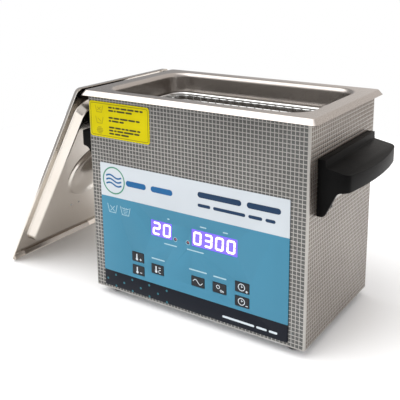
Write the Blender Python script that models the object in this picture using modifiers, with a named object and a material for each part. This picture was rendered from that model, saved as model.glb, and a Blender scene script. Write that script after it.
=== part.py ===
"""Three-litre bench ultrasonic cleaner with its lid leaning on the left side.

Lengths in this file are millimetres, and the helpers turn them into Blender's metres.
The machine is drawn about the middle of its own footprint: +X to its right, -Y to its front, +Z up.
"""

import math

import bmesh
import bpy
from mathutils import Euler, Matrix, Vector

MM = 0.001

# Driving dimensions
WIDTH = 270.0
DEPTH = 165.0
FOOT_HEIGHT = 10.0
RIM_TOP = 244.0
SHEET = 1.0
GAP = 0.3

# Housing
HOUSING_CORNER = 2.5
HOUSING_TOP = RIM_TOP - 4.1
TRAY_WALL = 12.0
BOARD_BOSS_HEIGHT = 7.4
BASE_VENT_ROWS = 7
FOOT_PLACE = (115.0, 62.0)
FRONT = -DEPTH / 2
REAR = DEPTH / 2
SIDE = WIDTH / 2

# Tank and its rim
TANK_HALF = (120.0, 67.5)
TANK_CORNER = 22.0
TANK_FLOOR = 144.0
TANK_FILLET = 6.0
MOUTH_RADIUS = 5.0
RIM_FLAT_HALF = (139.1, 82.8)
LIP_HALF = (143.0, 87.0)
LIP_DROP = 5.5
GASKET_WIDTH = 6.0

# Lid, in its own frame: flange at height 0, plug and dish below it
LID_HALF = (140.0, 86.0)
LID_LIP = (3.5, 6.0)
LID_PLUG_TOP = (115.0, 68.0)
LID_PLUG = (111.5, 65.0)
LID_PLUG_DEPTH = 11.5
LID_SHEET = 0.8
LID_LEAN = math.radians(60.5)
LID_FOOT_X = -293.5
LID_MIDDLE_Y = 3.0
LID_CLEARANCE = 0.05
DISH_RING = 42.5
DISH_BOWL = 35.0
DISH_STEP = 3.0
DISH_DEPTH = 8.0
LIFT_BAR_WIDTH = 16.0
LIFT_BAR_SHEET = 2.0
LID_VENTS = ((-61.0, -15.8), (-61.0, -1.3))
LID_VENT_RADIUS = 1.5

# Basket
BASKET_TOP = 221.0
BASKET_RIM_HALF = (115.5, 61.0)
BASKET_BAND = 6.0
BASKET_BASE_HALF = (107.5, 53.5)
BASKET_FLOOR = 150.0
BASKET_WALL = 1.5
BASKET_FEET = (80.0, 35.0)
BAIL_PIVOT = (104.5, 217.0)
BAIL_HALF_WIDTH = 43.0
BAIL_DROP = 52.0
BAIL_WIRE = 1.6
BAIL_BEND = 6.0
LUG_MIDDLE = 38.0

# Side handles, drawn for the right side
HANDLE_HALF = 64.5
HANDLE_BOTTOM = 145.0
HANDLE_TOP = 201.5
HANDLE_REACH = 172.5
HANDLE_BOW = 7.0
HANDLE_CORNER = 7.0
HANDLE_WALL = 4.0
HANDLE_FOOT_RADIUS = 5.0
RIDGE_THICKNESS = 8.0
SHELF_INNER_TOP = 194.0
SHELF_OUTER_TOP = 188.0
SHELF_EDGE = 174.0
UNDERCUT_MIDDLE = (160.5, 164.0)
UNDERCUT_RADIUS = 8.0
HANDLE_SCREW_Y = 56.0
HANDLE_SCREW_Z = 158.0
SCREW_CLEARANCE = 2.3

# Control panel
OVERLAY_X = (-120.3, 117.2)
OVERLAY_Z = (14.2, 163.6)
OVERLAY_SHEET = 0.8
PANEL_WINDOW_X = (-82.0, 78.0)
PANEL_WINDOW_Z = (36.0, 113.0)
KEY_SIZE = (16.4, 11.2)
KEY_DEPTH = 2.6
KEY_PROUD = 0.3
KEY_TRAVEL = 0.5
KEY_CENTRES = {
    "key_temperature_up": (-69.8, 59.9),
    "key_temperature_down": (-69.8, 44.0),
    "key_heating": (-42.6, 51.8),
    "key_ultrasonic": (11.0, 51.3),
    "key_degas": (38.0, 51.5),
    "key_time_up": (65.2, 59.8),
    "key_time_down": (65.2, 43.9),
}
DISPLAYS = {
    "temperature_display": ((-49.8, -22.2), (91.4, 109.3)),
    "timer_display": ((3.8, 59.3), (91.4, 110.0)),
}
LAMPS = {"heating_lamp": (-17.5, 93.2), "ultrasonic_lamp": (-1.2, 93.2)}
LAMP_RADIUS = 1.5
LABEL_X = (-132.4, -48.5)
LABEL_Z = (193.0, 233.0)
LABEL_SHEET = 0.4

# Control board behind the panel
BOARD_X = (-90.0, 86.0)
BOARD_Z = (28.0, 122.0)
BOARD_FRONT = -76.0
BOARD_SHEET = 1.6
RAIL_HEIGHT = 5.0

# Generator's heat sink
HEAT_SINK_FINS = 10
HEAT_SINK_PITCH = 6.0

# Rear panel
INLET = (-92.0, 45.0)
SWITCH = (-92.0, 92.0)
FUSE = (-56.0, 45.0)
FAN = (52.0, 76.0)
FAN_SIZE = 60.0
FAN_THICK = 15.0
FAN_BORE = 28.0
FAN_HUB = 12.5
FAN_BLADES = 7
FAN_SLOTS = 7
FAN_SLOT_PITCH = 7.0
FAN_SLOT_HEIGHT = 4.0
INLET_FACE = (31.0, 24.0)
INLET_BODY = (27.2, 19.8)
INLET_RECESS = (24.4, 16.6)
SWITCH_FACE = (15.4, 24.0)
SWITCH_BODY = (13.2, 19.8)
SWITCH_WELL = (10.8, 18.2)
ROCKER_FACE = (10.0, 16.4)
FUSE_BODY_RADIUS = 6.2
ROCKER_TILT = math.radians(7.0)

# Transducers under the tank
TRANSDUCER_X = 55.0
FRONT_MASS_TOP = TANK_FLOOR - SHEET - GAP
BOND_FACE_RADIUS = 29.5
STACK_RADIUS = 19.0

# The machine's middle, which puts the whole object's box about the origin
MACHINE_MIDDLE = (58.8, -1.0)

# Resolution
CORNER_STEPS = 5
TURN_STEPS = 20


def collection(name):
    made = bpy.data.collections.new(name)
    bpy.context.scene.collection.children.link(made)
    return made


for leftover in list(bpy.data.objects):
    bpy.data.objects.remove(leftover, do_unlink=True)

PARTS = collection("ultrasonic_cleaner")
CUTTERS = collection("cutters")


def material(name, colour, roughness, metallic=0.0):
    made = bpy.data.materials.new(name)
    made.use_nodes = True
    shader = made.node_tree.nodes["Principled BSDF"]
    shader.inputs["Base Color"].default_value = (*colour, 1.0)
    shader.inputs["Roughness"].default_value = roughness
    shader.inputs["Metallic"].default_value = metallic
    return made


FINISHES = {
    "steel": ((0.58, 0.57, 0.55), 0.35, 1.0),
    "polished": ((0.66, 0.65, 0.63), 0.15, 1.0),
    "zinc": ((0.55, 0.56, 0.58), 0.4, 1.0),
    "aluminium": ((0.75, 0.76, 0.78), 0.35, 1.0),
    "black_plastic": ((0.02, 0.02, 0.022), 0.42, 0.0),
    "rubber": ((0.03, 0.03, 0.03), 0.85, 0.0),
    "silicone": ((0.35, 0.36, 0.37), 0.7, 0.0),
    "overlay_print": ((0.12, 0.36, 0.47), 0.35, 0.0),
    "key_print": ((0.03, 0.035, 0.045), 0.4, 0.0),
    "label_print": ((0.85, 0.75, 0.02), 0.45, 0.0),
    "display": ((0.42, 0.25, 0.9), 0.2, 0.0),
    "lamp": ((0.5, 0.1, 0.1), 0.2, 0.0),
    "circuit_board": ((0.04, 0.22, 0.1), 0.5, 0.0),
    "ceramic": ((0.8, 0.78, 0.7), 0.5, 0.0),
    "copper": ((0.7, 0.3, 0.15), 0.4, 0.6),
    "wire": ((0.6, 0.08, 0.06), 0.5, 0.0),
}


def finish(obj, name):
    """Gives a part its own copy of a finish, smooth over its round faces."""
    colour, roughness, metallic = FINISHES[name]
    obj.data.materials.clear()
    obj.data.materials.append(material(obj.name, colour, roughness, metallic))
    if obj.type == "MESH":
        obj.data.shade_smooth()
        obj.data.set_sharp_from_angle(angle=math.radians(30))
    return obj


def placed(name, mesh, group=PARTS, location=(0, 0, 0), rotation=(0, 0, 0)):
    obj = bpy.data.objects.new(name, mesh)
    obj.location = Vector(location) * MM
    obj.rotation_euler = rotation
    group.objects.link(obj)
    if group is CUTTERS:
        obj.hide_render = True
        obj.display_type = "WIRE"
    return obj


def mesh_from(name, build):
    """A mesh filled in by build, a function that takes an empty bmesh and works in millimetres."""
    work = bmesh.new()
    build(work)
    bmesh.ops.scale(work, vec=(MM, MM, MM), verts=work.verts)
    mesh = bpy.data.meshes.new(name)
    work.to_mesh(mesh)
    work.free()
    return mesh


def box(name, x, y, z, group=PARTS, bevel=0.0):
    """A block between pairs of limits, with its edges rounded by bevel."""
    spans = (x, y, z)
    sizes = [high - low for low, high in spans]

    def build(work):
        bmesh.ops.create_cube(work, size=1.0)
        bmesh.ops.scale(work, vec=sizes, verts=work.verts)

    obj = placed(name, mesh_from(name, build), group, [sum(span) / 2 for span in spans])
    if bevel:
        rounding = obj.modifiers.new("rounding", "BEVEL")
        rounding.width = bevel * MM
        rounding.segments = 2
    return obj


ALONG = {"X": (0, math.radians(90), 0), "Y": (math.radians(-90), 0, 0), "Z": (0, 0, 0)}


def cylinder(name, radius, length, middle, axis="Z", group=PARTS, steps=TURN_STEPS, far_radius=None):
    far = radius if far_radius is None else far_radius

    def build(work):
        bmesh.ops.create_cone(
            work, cap_ends=True, segments=steps, radius1=radius, radius2=far, depth=length
        )

    return placed(name, mesh_from(name, build), group, middle, ALONG[axis])


def turned(name, profile, centre, axis="Z", closed=False, group=PARTS, steps=TURN_STEPS):
    """A profile of (radius, height) points, turned about the axis. Its outer side runs downwards."""

    def build(work):
        points = [work.verts.new((radius, 0, height)) for radius, height in profile]
        pairs = list(zip(points, points[1:]))
        if closed:
            pairs.append((points[-1], points[0]))
        for pair in pairs:
            work.edges.new(pair)

    obj = placed(name, mesh_from(name, build), group, centre, ALONG[axis])
    screw = obj.modifiers.new("turning", "SCREW")
    screw.steps = steps
    screw.render_steps = steps
    screw.use_merge_vertices = True
    screw.merge_threshold = 0.00001
    return obj


def rounded_ring(half, radius, height, steps=CORNER_STEPS):
    """The points of a rectangle with round corners, counter-clockwise from above."""
    points = []
    for quarter, (sign_x, sign_y) in enumerate(((1, 1), (-1, 1), (-1, -1), (1, -1))):
        for step in range(steps + 1):
            angle = math.radians(90) * (quarter + step / steps)
            x = sign_x * (half[0] - radius) + radius * math.cos(angle)
            y = sign_y * (half[1] - radius) + radius * math.sin(angle)
            points.append((x, y, height))
    return points


def round_ring(radius, height, steps=CORNER_STEPS):
    """A circle with as many points as rounded_ring."""
    count = 4 * (steps + 1)
    angles = [2 * math.pi * (step + 0.5) / count for step in range(count)]
    return [(radius * math.cos(angle), radius * math.sin(angle), height) for angle in angles]


def loft(name, rings, ends="open", group=PARTS, location=(0, 0, 0)):
    """A skin over rings of equal length. Its ends are open, capped, or joined to each other."""

    def build(work):
        rows = [[work.verts.new(point) for point in ring] for ring in rings]
        if ends == "joined":
            rows.append(rows[0])
        for row, following in zip(rows, rows[1:]):
            for index in range(len(row)):
                after = (index + 1) % len(row)
                work.faces.new((row[index], row[after], following[after], following[index]))
        if ends == "capped":
            work.faces.new(reversed(rows[0]))
            work.faces.new(rows[-1])
        if ends == "floor":
            work.faces.new(rows[-1])

    return placed(name, mesh_from(name, build), group, location)


def thicken(obj, thickness):
    sheet = obj.modifiers.new("sheet", "SOLIDIFY")
    sheet.thickness = thickness * MM
    sheet.offset = -1.0
    sheet.use_even_offset = True
    return obj


def as_mesh(curve_object, name, group):
    """Turns a curve object into a mesh object with its caps welded."""
    bpy.context.view_layer.update()
    graph = bpy.context.evaluated_depsgraph_get()
    mesh = bpy.data.meshes.new_from_object(curve_object.evaluated_get(graph))
    mesh.name = name
    work = bmesh.new()
    work.from_mesh(mesh)
    bmesh.ops.remove_doubles(work, verts=work.verts, dist=0.000001)
    bmesh.ops.recalc_face_normals(work, faces=work.faces)
    work.to_mesh(mesh)
    work.free()
    place = curve_object.matrix_world.copy()
    bpy.data.objects.remove(curve_object)
    obj = placed(name, mesh, group)
    obj.matrix_world = place
    return obj


def plate(name, outline, thickness, middle, rotation=(0, 0, 0), group=PARTS):
    """A flat outline of (x, y) points, extruded along its normal about the middle."""
    curve = bpy.data.curves.new(name, "CURVE")
    curve.dimensions = "2D"
    curve.fill_mode = "BOTH"
    curve.extrude = thickness / 2 * MM
    spline = curve.splines.new("POLY")
    spline.points.add(len(outline) - 1)
    for point, (x, y) in zip(spline.points, outline):
        point.co = (x * MM, y * MM, 0, 1)
    spline.use_cyclic_u = True
    flat = placed(name + "_outline", curve, group, middle, rotation)
    return as_mesh(flat, name, group)


def arc(centre, radius, start, end, steps):
    """Points on an arc, with its angles in degrees."""
    angles = [math.radians(start + (end - start) * step / steps) for step in range(steps + 1)]
    return [(centre[0] + radius * math.cos(a), centre[1] + radius * math.sin(a)) for a in angles]


def wire(name, route, radius, group=PARTS, bevel_resolution=1):
    """A round wire along a list of points."""
    curve = bpy.data.curves.new(name, "CURVE")
    curve.dimensions = "3D"
    curve.bevel_depth = radius * MM
    curve.bevel_resolution = bevel_resolution
    curve.use_fill_caps = True
    spline = curve.splines.new("POLY")
    spline.points.add(len(route) - 1)
    for point, place in zip(spline.points, route):
        point.co = (*(Vector(place) * MM), 1)
    return placed(name, curve, group)


def smooth_route(corners, steps=3):
    """A Catmull-Rom curve through the given points."""
    points = [Vector(corner) for corner in corners]
    padded = [2 * points[0] - points[1], *points, 2 * points[-1] - points[-2]]
    route = []
    for before, start, end, after in zip(padded, padded[1:], padded[2:], padded[3:]):
        for step in range(steps):
            t = step / steps
            route.append(
                0.5
                * (
                    2 * start
                    + (end - before) * t
                    + (2 * before - 5 * start + 4 * end - after) * t * t
                    + (3 * start - before - 3 * end + after) * t**3
                )
            )
    return [*route, points[-1]]


def combine(target, others, operation="DIFFERENCE"):
    """Cuts the others from the target, or unites or intersects them with it."""
    for other in others:
        change = target.modifiers.new(other.name, "BOOLEAN")
        change.operation = operation
        change.object = other
        change.solver = "EXACT"
    return target


def gathered(name, objects):
    """Several cutters that don't touch, as one mesh object."""
    work = bmesh.new()
    bpy.context.view_layer.update()
    graph = bpy.context.evaluated_depsgraph_get()
    for obj in objects:
        mesh = bpy.data.meshes.new_from_object(obj.evaluated_get(graph))
        mesh.transform(obj.matrix_world)
        work.from_mesh(mesh)
        bpy.data.meshes.remove(mesh)
        bpy.data.objects.remove(obj)
    mesh = bpy.data.meshes.new(name)
    work.to_mesh(mesh)
    work.free()
    return placed(name, mesh, CUTTERS)


def grown(span, margin):
    return (span[0] - margin, span[1] + margin)


def around(middle, size):
    return (middle - size / 2, middle + size / 2)


def housing():
    outer = (SIDE, REAR)
    inner = (SIDE - SHEET, REAR - SHEET)
    rings = [
        rounded_ring(outer, HOUSING_CORNER, FOOT_HEIGHT),
        rounded_ring(outer, HOUSING_CORNER, HOUSING_TOP),
        rounded_ring(inner, HOUSING_CORNER - SHEET, HOUSING_TOP),
        rounded_ring(inner, HOUSING_CORNER - SHEET, FOOT_HEIGHT),
    ]
    shell = loft("housing_shell", rings, "joined")
    through = 6.0
    front = around(FRONT, through)
    rear = around(REAR, through)
    inlet = (around(INLET[0], INLET_BODY[0] + 0.8), rear, around(INLET[1], INLET_BODY[1] + 0.8))
    switch = (around(SWITCH[0], SWITCH_BODY[0] + 0.4), rear, around(SWITCH[1], SWITCH_BODY[1] + 0.8))
    openings = [
        box("panel_window", PANEL_WINDOW_X, front, PANEL_WINDOW_Z, CUTTERS),
        box("inlet_opening", *inlet, CUTTERS),
        box("switch_opening", *switch, CUTTERS),
        cylinder("fuse_opening", FUSE_BODY_RADIUS + 0.4, through, (FUSE[0], REAR, FUSE[1]), "Y", CUTTERS),
    ]
    for index in range(FAN_SLOTS):
        rise = (index - (FAN_SLOTS - 1) / 2) * FAN_SLOT_PITCH
        chord = 2 * math.sqrt(FAN_BORE**2 - rise**2) - 4.0
        height = around(FAN[1] + rise, FAN_SLOT_HEIGHT)
        openings.append(box(f"fan_slot_{index}", around(FAN[0], chord), rear, height, CUTTERS))
    for side in (-1, 1):
        for end in (-1, 1):
            middle = (side * SIDE, end * HANDLE_SCREW_Y, HANDLE_SCREW_Z)
            hole = cylinder("handle_screw_hole", SCREW_CLEARANCE, through, middle, "X", CUTTERS, 12)
            openings.append(hole)
    combine(shell, [gathered("housing_openings", openings)])
    finish(shell, "steel")


def base_plate():
    half = (SIDE - SHEET - GAP, REAR - SHEET - GAP)
    inside = (half[0] - SHEET, half[1] - SHEET)
    low = FOOT_HEIGHT + GAP
    high = low + TRAY_WALL
    rings = [
        rounded_ring(half, 1.5, low, 2),
        rounded_ring(half, 1.5, high, 2),
        rounded_ring(inside, 0.6, high, 2),
        rounded_ring(inside, 0.6, low + SHEET, 2),
    ]
    tray = loft("base_plate", rings, "capped")
    boss_middle = low + SHEET + BOARD_BOSS_HEIGHT / 2 - 0.3
    bosses = [
        cylinder("board_boss", 4.0, BOARD_BOSS_HEIGHT + 0.6, (x, y, boss_middle), "Z", CUTTERS, 12)
        for x in (-62.0, 42.0)
        for y in (-40.0, 40.0)
    ]
    combine(tray, [gathered("board_bosses", bosses)], "UNION")
    openings = [
        cylinder("foot_screw_hole", SCREW_CLEARANCE, 10.0, (x, y, low), "Z", CUTTERS, 12)
        for x, y in foot_places()
    ]
    for x in (-90.0, 100.0):
        for row in range(BASE_VENT_ROWS):
            span = around((row - (BASE_VENT_ROWS - 1) / 2) * 10.0, 4.0)
            openings.append(box("vent", around(x, 30.0), span, around(low, 6.0), CUTTERS))
    combine(tray, [gathered("base_openings", openings)])
    finish(tray, "steel")


def foot_places():
    return [(x, y) for x in (-FOOT_PLACE[0], FOOT_PLACE[0]) for y in (-FOOT_PLACE[1], FOOT_PLACE[1])]


def feet():
    sides = [(10.0, FOOT_HEIGHT), (9.0, 1.0), (8.0, 0.0)]
    bore = [(4.8, 0.0), (4.8, 5.4), (2.4, 5.4), (2.4, FOOT_HEIGHT)]
    screw = [(0.0, 16.0), (2.0, 16.0), (2.0, 5.1), (4.2, 5.1), (4.2, 3.4), (3.2, 2.6), (0.0, 2.6)]
    for number, (x, y) in enumerate(foot_places(), 1):
        finish(turned(f"foot_{number}", sides + bore, (x, y, 0), closed=True, steps=16), "rubber")
        finish(turned(f"foot_screw_{number}", screw, (x, y, 0), steps=12), "zinc")


def tank():
    rings = [
        rounded_ring(LIP_HALF, 5.0, RIM_TOP - LIP_DROP),
        rounded_ring(RIM_FLAT_HALF, 3.5, RIM_TOP),
    ]
    for angle in range(0, 91, 18):
        turn = math.radians(angle)
        spread = MOUTH_RADIUS * (1 - math.sin(turn))
        half = (TANK_HALF[0] + spread, TANK_HALF[1] + spread)
        height = RIM_TOP - MOUTH_RADIUS * (1 - math.cos(turn))
        rings.append(rounded_ring(half, TANK_CORNER + spread, height))
    for angle in range(0, 91, 30):
        turn = math.radians(angle)
        inset = 1.0 + TANK_FILLET * (1 - math.cos(turn))
        half = (TANK_HALF[0] - inset, TANK_HALF[1] - inset)
        height = TANK_FLOOR + TANK_FILLET * (1 - math.sin(turn))
        rings.append(rounded_ring(half, TANK_CORNER - inset, height))
    finish(thicken(loft("tank", rings, "floor"), SHEET), "polished")


def rim_gasket():
    outer = (SIDE - 0.5, REAR - 0.5)
    inner = (outer[0] - GASKET_WIDTH, outer[1] - GASKET_WIDTH)
    low = HOUSING_TOP + GAP
    high = RIM_TOP - SHEET - GAP
    rings = [
        rounded_ring(outer, 3.0, low, 3),
        rounded_ring(outer, 3.0, high, 3),
        rounded_ring(inner, 2.0, high, 3),
        rounded_ring(inner, 2.0, low, 3),
    ]
    finish(loft("rim_gasket", rings, "joined"), "silicone")


def handle_plan(inset, back):
    """The handle from above, moved in by inset: a bowed outer edge whose round corners run into it."""
    half = HANDLE_HALF - inset
    corner = HANDLE_CORNER - inset / 2
    radius = (half**2 + HANDLE_BOW**2) / (2 * HANDLE_BOW)
    middle = HANDLE_REACH - inset - radius
    sweep = math.asin((half - corner) / (radius - corner))
    turn_x = middle + (radius - corner) * math.cos(sweep)
    turn_y = half - corner
    angle = math.degrees(sweep)
    outline = [(back, -half)]
    outline += arc((turn_x, -turn_y), corner, -90, -angle, 4)
    outline += arc((middle, 0), radius, -angle, angle, 10)[1:-1]
    outline += arc((turn_x, turn_y), corner, angle, 90, 4)
    return [*outline, (back, half)]


def handle_profile():
    """The handle from the front: foot, hollow sweep up to the lip, sloping shelf, and ridge at the wall."""
    base = SIDE + GAP
    outside = HANDLE_REACH + 2.0
    foot_middle = (base + 4.0, HANDLE_BOTTOM + HANDLE_FOOT_RADIUS)
    outline = [(base, HANDLE_BOTTOM)]
    outline += arc(foot_middle, HANDLE_FOOT_RADIUS, -90, -25, 3)
    outline += arc(UNDERCUT_MIDDLE, UNDERCUT_RADIUS, 152, 90, 5)
    outline += [(outside, SHELF_EDGE), (outside, SHELF_OUTER_TOP)]
    outline += [(base + RIDGE_THICKNESS, SHELF_INNER_TOP), (base + RIDGE_THICKNESS - 0.6, HANDLE_TOP)]
    return [*outline, (base, HANDLE_TOP)]


def side_handle(name, side):
    """A hooded grip, open below and towards the wall, with a screw boss in each end."""
    base = SIDE + GAP
    block_half = 50.0
    grip = plate(name, handle_plan(0.0, base), 2 * block_half, (0, 0, HANDLE_BOTTOM + block_half - 5.0))
    upright = (math.radians(90), 0, 0)
    section = plate(name + "_section", handle_profile(), 3 * block_half, (0, 0, 0), upright, CUTTERS)
    combine(grip, [section], "INTERSECT")
    pocket_half = 40.0
    pocket_middle = (0, 0, SHELF_OUTER_TOP - HANDLE_WALL - pocket_half)
    inside = handle_plan(HANDLE_WALL, base - 5.0)
    pocket = plate(name + "_pocket", inside, 2 * pocket_half, pocket_middle, (0, 0, 0), CUTTERS)
    combine(grip, [pocket])
    bosses = []
    holes = []
    for end in (-1, 1):
        y = sorted((end * (HANDLE_SCREW_Y - 5.5), end * (HANDLE_HALF - 2.0)))
        bosses.append(box("boss", (base, base + 10.0), y, around(HANDLE_SCREW_Z, 12.0), CUTTERS))
        middle = (base, end * HANDLE_SCREW_Y, HANDLE_SCREW_Z)
        holes.append(cylinder("blind_hole", SCREW_CLEARANCE, 10.0, middle, "X", CUTTERS, 12))
    combine(grip, [gathered(name + "_bosses", bosses)], "UNION")
    combine(grip, [gathered(name + "_holes", holes)])
    turn = 0 if side > 0 else math.pi
    for obj in [grip, *(change.object for change in grip.modifiers)]:
        obj.matrix_world = Matrix.Rotation(turn, 4, "Z") @ obj.matrix_basis
    finish(grip, "black_plastic")


def handle_screws():
    profile = [(0.0, 6.4), (1.9, 6.4), (1.9, 0.0), (3.6, 0.0), (3.6, -1.6), (2.8, -2.4), (0.0, -2.4)]
    number = 0
    for side in (-1, 1):
        for end in (-1, 1):
            number += 1
            place = (side * (SIDE - SHEET - GAP), end * HANDLE_SCREW_Y, HANDLE_SCREW_Z)
            screw = turned(f"handle_screw_{number}", profile, place, "X", steps=12)
            if side < 0:
                screw.rotation_euler = (0, math.radians(-90), 0)
            finish(screw, "zinc")


def control_overlay():
    back = FRONT - GAP
    skin = (back - OVERLAY_SHEET, back)
    overlay = box("control_overlay", OVERLAY_X, skin, OVERLAY_Z)
    windows = []
    through = 8.0
    for name, (x, z) in KEY_CENTRES.items():
        window = (around(x, KEY_SIZE[0] + 0.8), around(FRONT, through), around(z, KEY_SIZE[1] + 0.8))
        windows.append(box(name + "_window", *window, CUTTERS))
    for name, (x, z) in DISPLAYS.items():
        window = (grown(x, GAP), around(FRONT, through), grown(z, GAP))
        windows.append(box(name + "_window", *window, CUTTERS))
    for name, (x, z) in LAMPS.items():
        windows.append(cylinder(name + "_hole", LAMP_RADIUS + 0.4, through, (x, FRONT, z), "Y", CUTTERS, 16))
    combine(overlay, [gathered("overlay_windows", windows)])
    finish(overlay, "overlay_print")


def keys():
    face = FRONT - GAP - OVERLAY_SHEET - KEY_PROUD
    for name, (x, z) in KEY_CENTRES.items():
        size = (around(x, KEY_SIZE[0]), (face, face + KEY_DEPTH), around(z, KEY_SIZE[1]))
        finish(box(name, *size, bevel=0.35), "key_print")


def displays_and_lamps():
    face = FRONT - GAP - OVERLAY_SHEET + 0.15
    for name, (x, z) in DISPLAYS.items():
        finish(box(name, x, (face, BOARD_FRONT - GAP), z), "display")
    length = BOARD_FRONT - GAP - face - 1.0
    for name, (x, z) in LAMPS.items():
        dome = [(0.0, length + 1.1), (0.6 * LAMP_RADIUS, length + 0.8), (LAMP_RADIUS, length)]
        stem = [(LAMP_RADIUS, 0.0), (0.0, 0.0)]
        lamp = turned(name, dome + stem, (x, BOARD_FRONT - GAP, z), "Y", steps=16)
        lamp.rotation_euler = (math.radians(90), 0, 0)
        finish(lamp, "lamp")


def caution_label():
    label = box("caution_label", LABEL_X, (FRONT - GAP - LABEL_SHEET, FRONT - GAP), LABEL_Z)
    finish(label, "label_print")


def control_board():
    board = box("control_board", BOARD_X, (BOARD_FRONT, BOARD_FRONT + BOARD_SHEET), BOARD_Z)
    face = FRONT - GAP - OVERLAY_SHEET - KEY_PROUD + KEY_DEPTH
    plunger_front = face + KEY_TRAVEL + GAP
    body = (BOARD_FRONT - 3.3, BOARD_FRONT + 0.5)
    length = body[0] + 0.3 - plunger_front
    bodies = []
    plungers = []
    for name, (x, z) in KEY_CENTRES.items():
        bodies.append(box(name + "_switch", around(x, 6.0), body, around(z, 6.0), CUTTERS))
        middle = (x, plunger_front + length / 2, z)
        plungers.append(cylinder(name + "_plunger", 1.7, length, middle, "Y", CUTTERS, 12))
    combine(board, [gathered("switch_bodies", bodies), gathered("switch_plungers", plungers)], "UNION")
    finish(board, "circuit_board")
    rail = (FRONT + SHEET + GAP, BOARD_FRONT - GAP)
    for name, height in (("board_rail_upper", BOARD_Z[1] - RAIL_HEIGHT), ("board_rail_lower", BOARD_Z[0])):
        finish(box(name, grown(BOARD_X, -2.0), rail, (height, height + RAIL_HEIGHT)), "aluminium")


def generator():
    low = FOOT_HEIGHT + GAP + SHEET + BOARD_BOSS_HEIGHT + GAP
    board = box("generator_board", (-70.0, 50.0), (-48.0, 48.0), (low, low + BOARD_SHEET))
    top = low + BOARD_SHEET
    pieces = [
        cylinder("smoothing_can", 9.0, 30.0, (-52.0, -30.0, top + 14.5), "Z", CUTTERS, 20),
        cylinder("filter_can", 6.0, 20.0, (-52.0, 0.0, top + 9.5), "Z", CUTTERS, 16),
        box("relay", (-62.0, -44.0), (22.0, 38.0), (top - 0.5, top + 15.0), CUTTERS),
        box("film_block", (20.0, 44.0), (-40.0, -28.0), (top - 0.5, top + 14.0), CUTTERS),
    ]
    combine(board, [gathered("generator_parts", pieces)], "UNION")
    finish(board, "circuit_board")
    core = box("transformer", (-26.0, 6.0), (-16.0, 16.0), (top + GAP, top + GAP + 28.0), bevel=1.0)
    coil = cylinder("transformer_coil", 20.0, 20.0, (-10.0, 0.0, top + GAP + 14.0), "Z", CUTTERS, 24)
    finish(combine(core, [coil], "UNION"), "copper")
    plate_low = FOOT_HEIGHT + 2 * GAP + SHEET
    depth = (44.0, 58.0)
    sink = box("heat_sink", (70.0, 128.0), depth, (plate_low, plate_low + 4.0))
    fin_height = (plate_low + 3.0, plate_low + 30.0)
    fins = [
        box("fin", around(72.0 + index * HEAT_SINK_PITCH, 1.6), depth, fin_height, CUTTERS)
        for index in range(HEAT_SINK_FINS)
    ]
    finish(combine(sink, [gathered("heat_sink_fins", fins)], "UNION"), "aluminium")


def transducer(name, x):
    top = FRONT_MASS_TOP
    taper = 12.0
    mass_low = top - 27.0
    stack_low = mass_low - GAP - 11.0
    back_low = stack_low - GAP - 18.0
    bore = 5.3
    place = (x, 0, 0)
    front = [
        (0.0, top),
        (BOND_FACE_RADIUS, top),
        (BOND_FACE_RADIUS, top - 3.0),
        (STACK_RADIUS, top - taper - 3.0),
        (STACK_RADIUS, mass_low),
        (bore, mass_low),
        (bore, mass_low + 11.0),
        (0.0, mass_low + 11.0),
    ]
    finish(turned(name + "_front_mass", front, place), "aluminium")
    stack_top = mass_low - GAP
    ring_bore = 7.5
    stack = [(STACK_RADIUS, stack_top), (STACK_RADIUS, stack_low)]
    stack += [(ring_bore, stack_low), (ring_bore, stack_top)]
    finish(turned(name + "_piezo_stack", stack, place, closed=True), "ceramic")
    back = [
        (STACK_RADIUS, stack_low - GAP),
        (STACK_RADIUS, back_low + 1.0),
        (STACK_RADIUS - 1.0, back_low),
        (bore, back_low),
        (bore, stack_low - GAP),
    ]
    finish(turned(name + "_back_mass", back, place, closed=True), "zinc")
    bolt = [
        (0.0, mass_low + 10.0),
        (5.0, mass_low + 10.0),
        (5.0, back_low - GAP),
        (8.0, back_low - GAP),
        (8.0, back_low - 7.0),
        (0.0, back_low - 7.0),
    ]
    finish(turned(name + "_clamp_bolt", bolt, place, steps=18), "zinc")


def tank_heater():
    wall = TANK_HALF[1] + SHEET + GAP
    finish(box("heater_pad", (-80.0, 80.0), (-wall - 2.0, -wall), (156.0, 200.0)), "silicone")
    wall = TANK_HALF[0] + SHEET + GAP
    cutout = [(0.0, 8.0), (5.0, 8.0), (5.0, 4.0), (9.0, 3.5), (9.0, 0.0), (0.0, 0.0)]
    finish(turned("thermal_cutout", cutout, (wall, 0.0, 170.0), "X", steps=20), "black_plastic")


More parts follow.
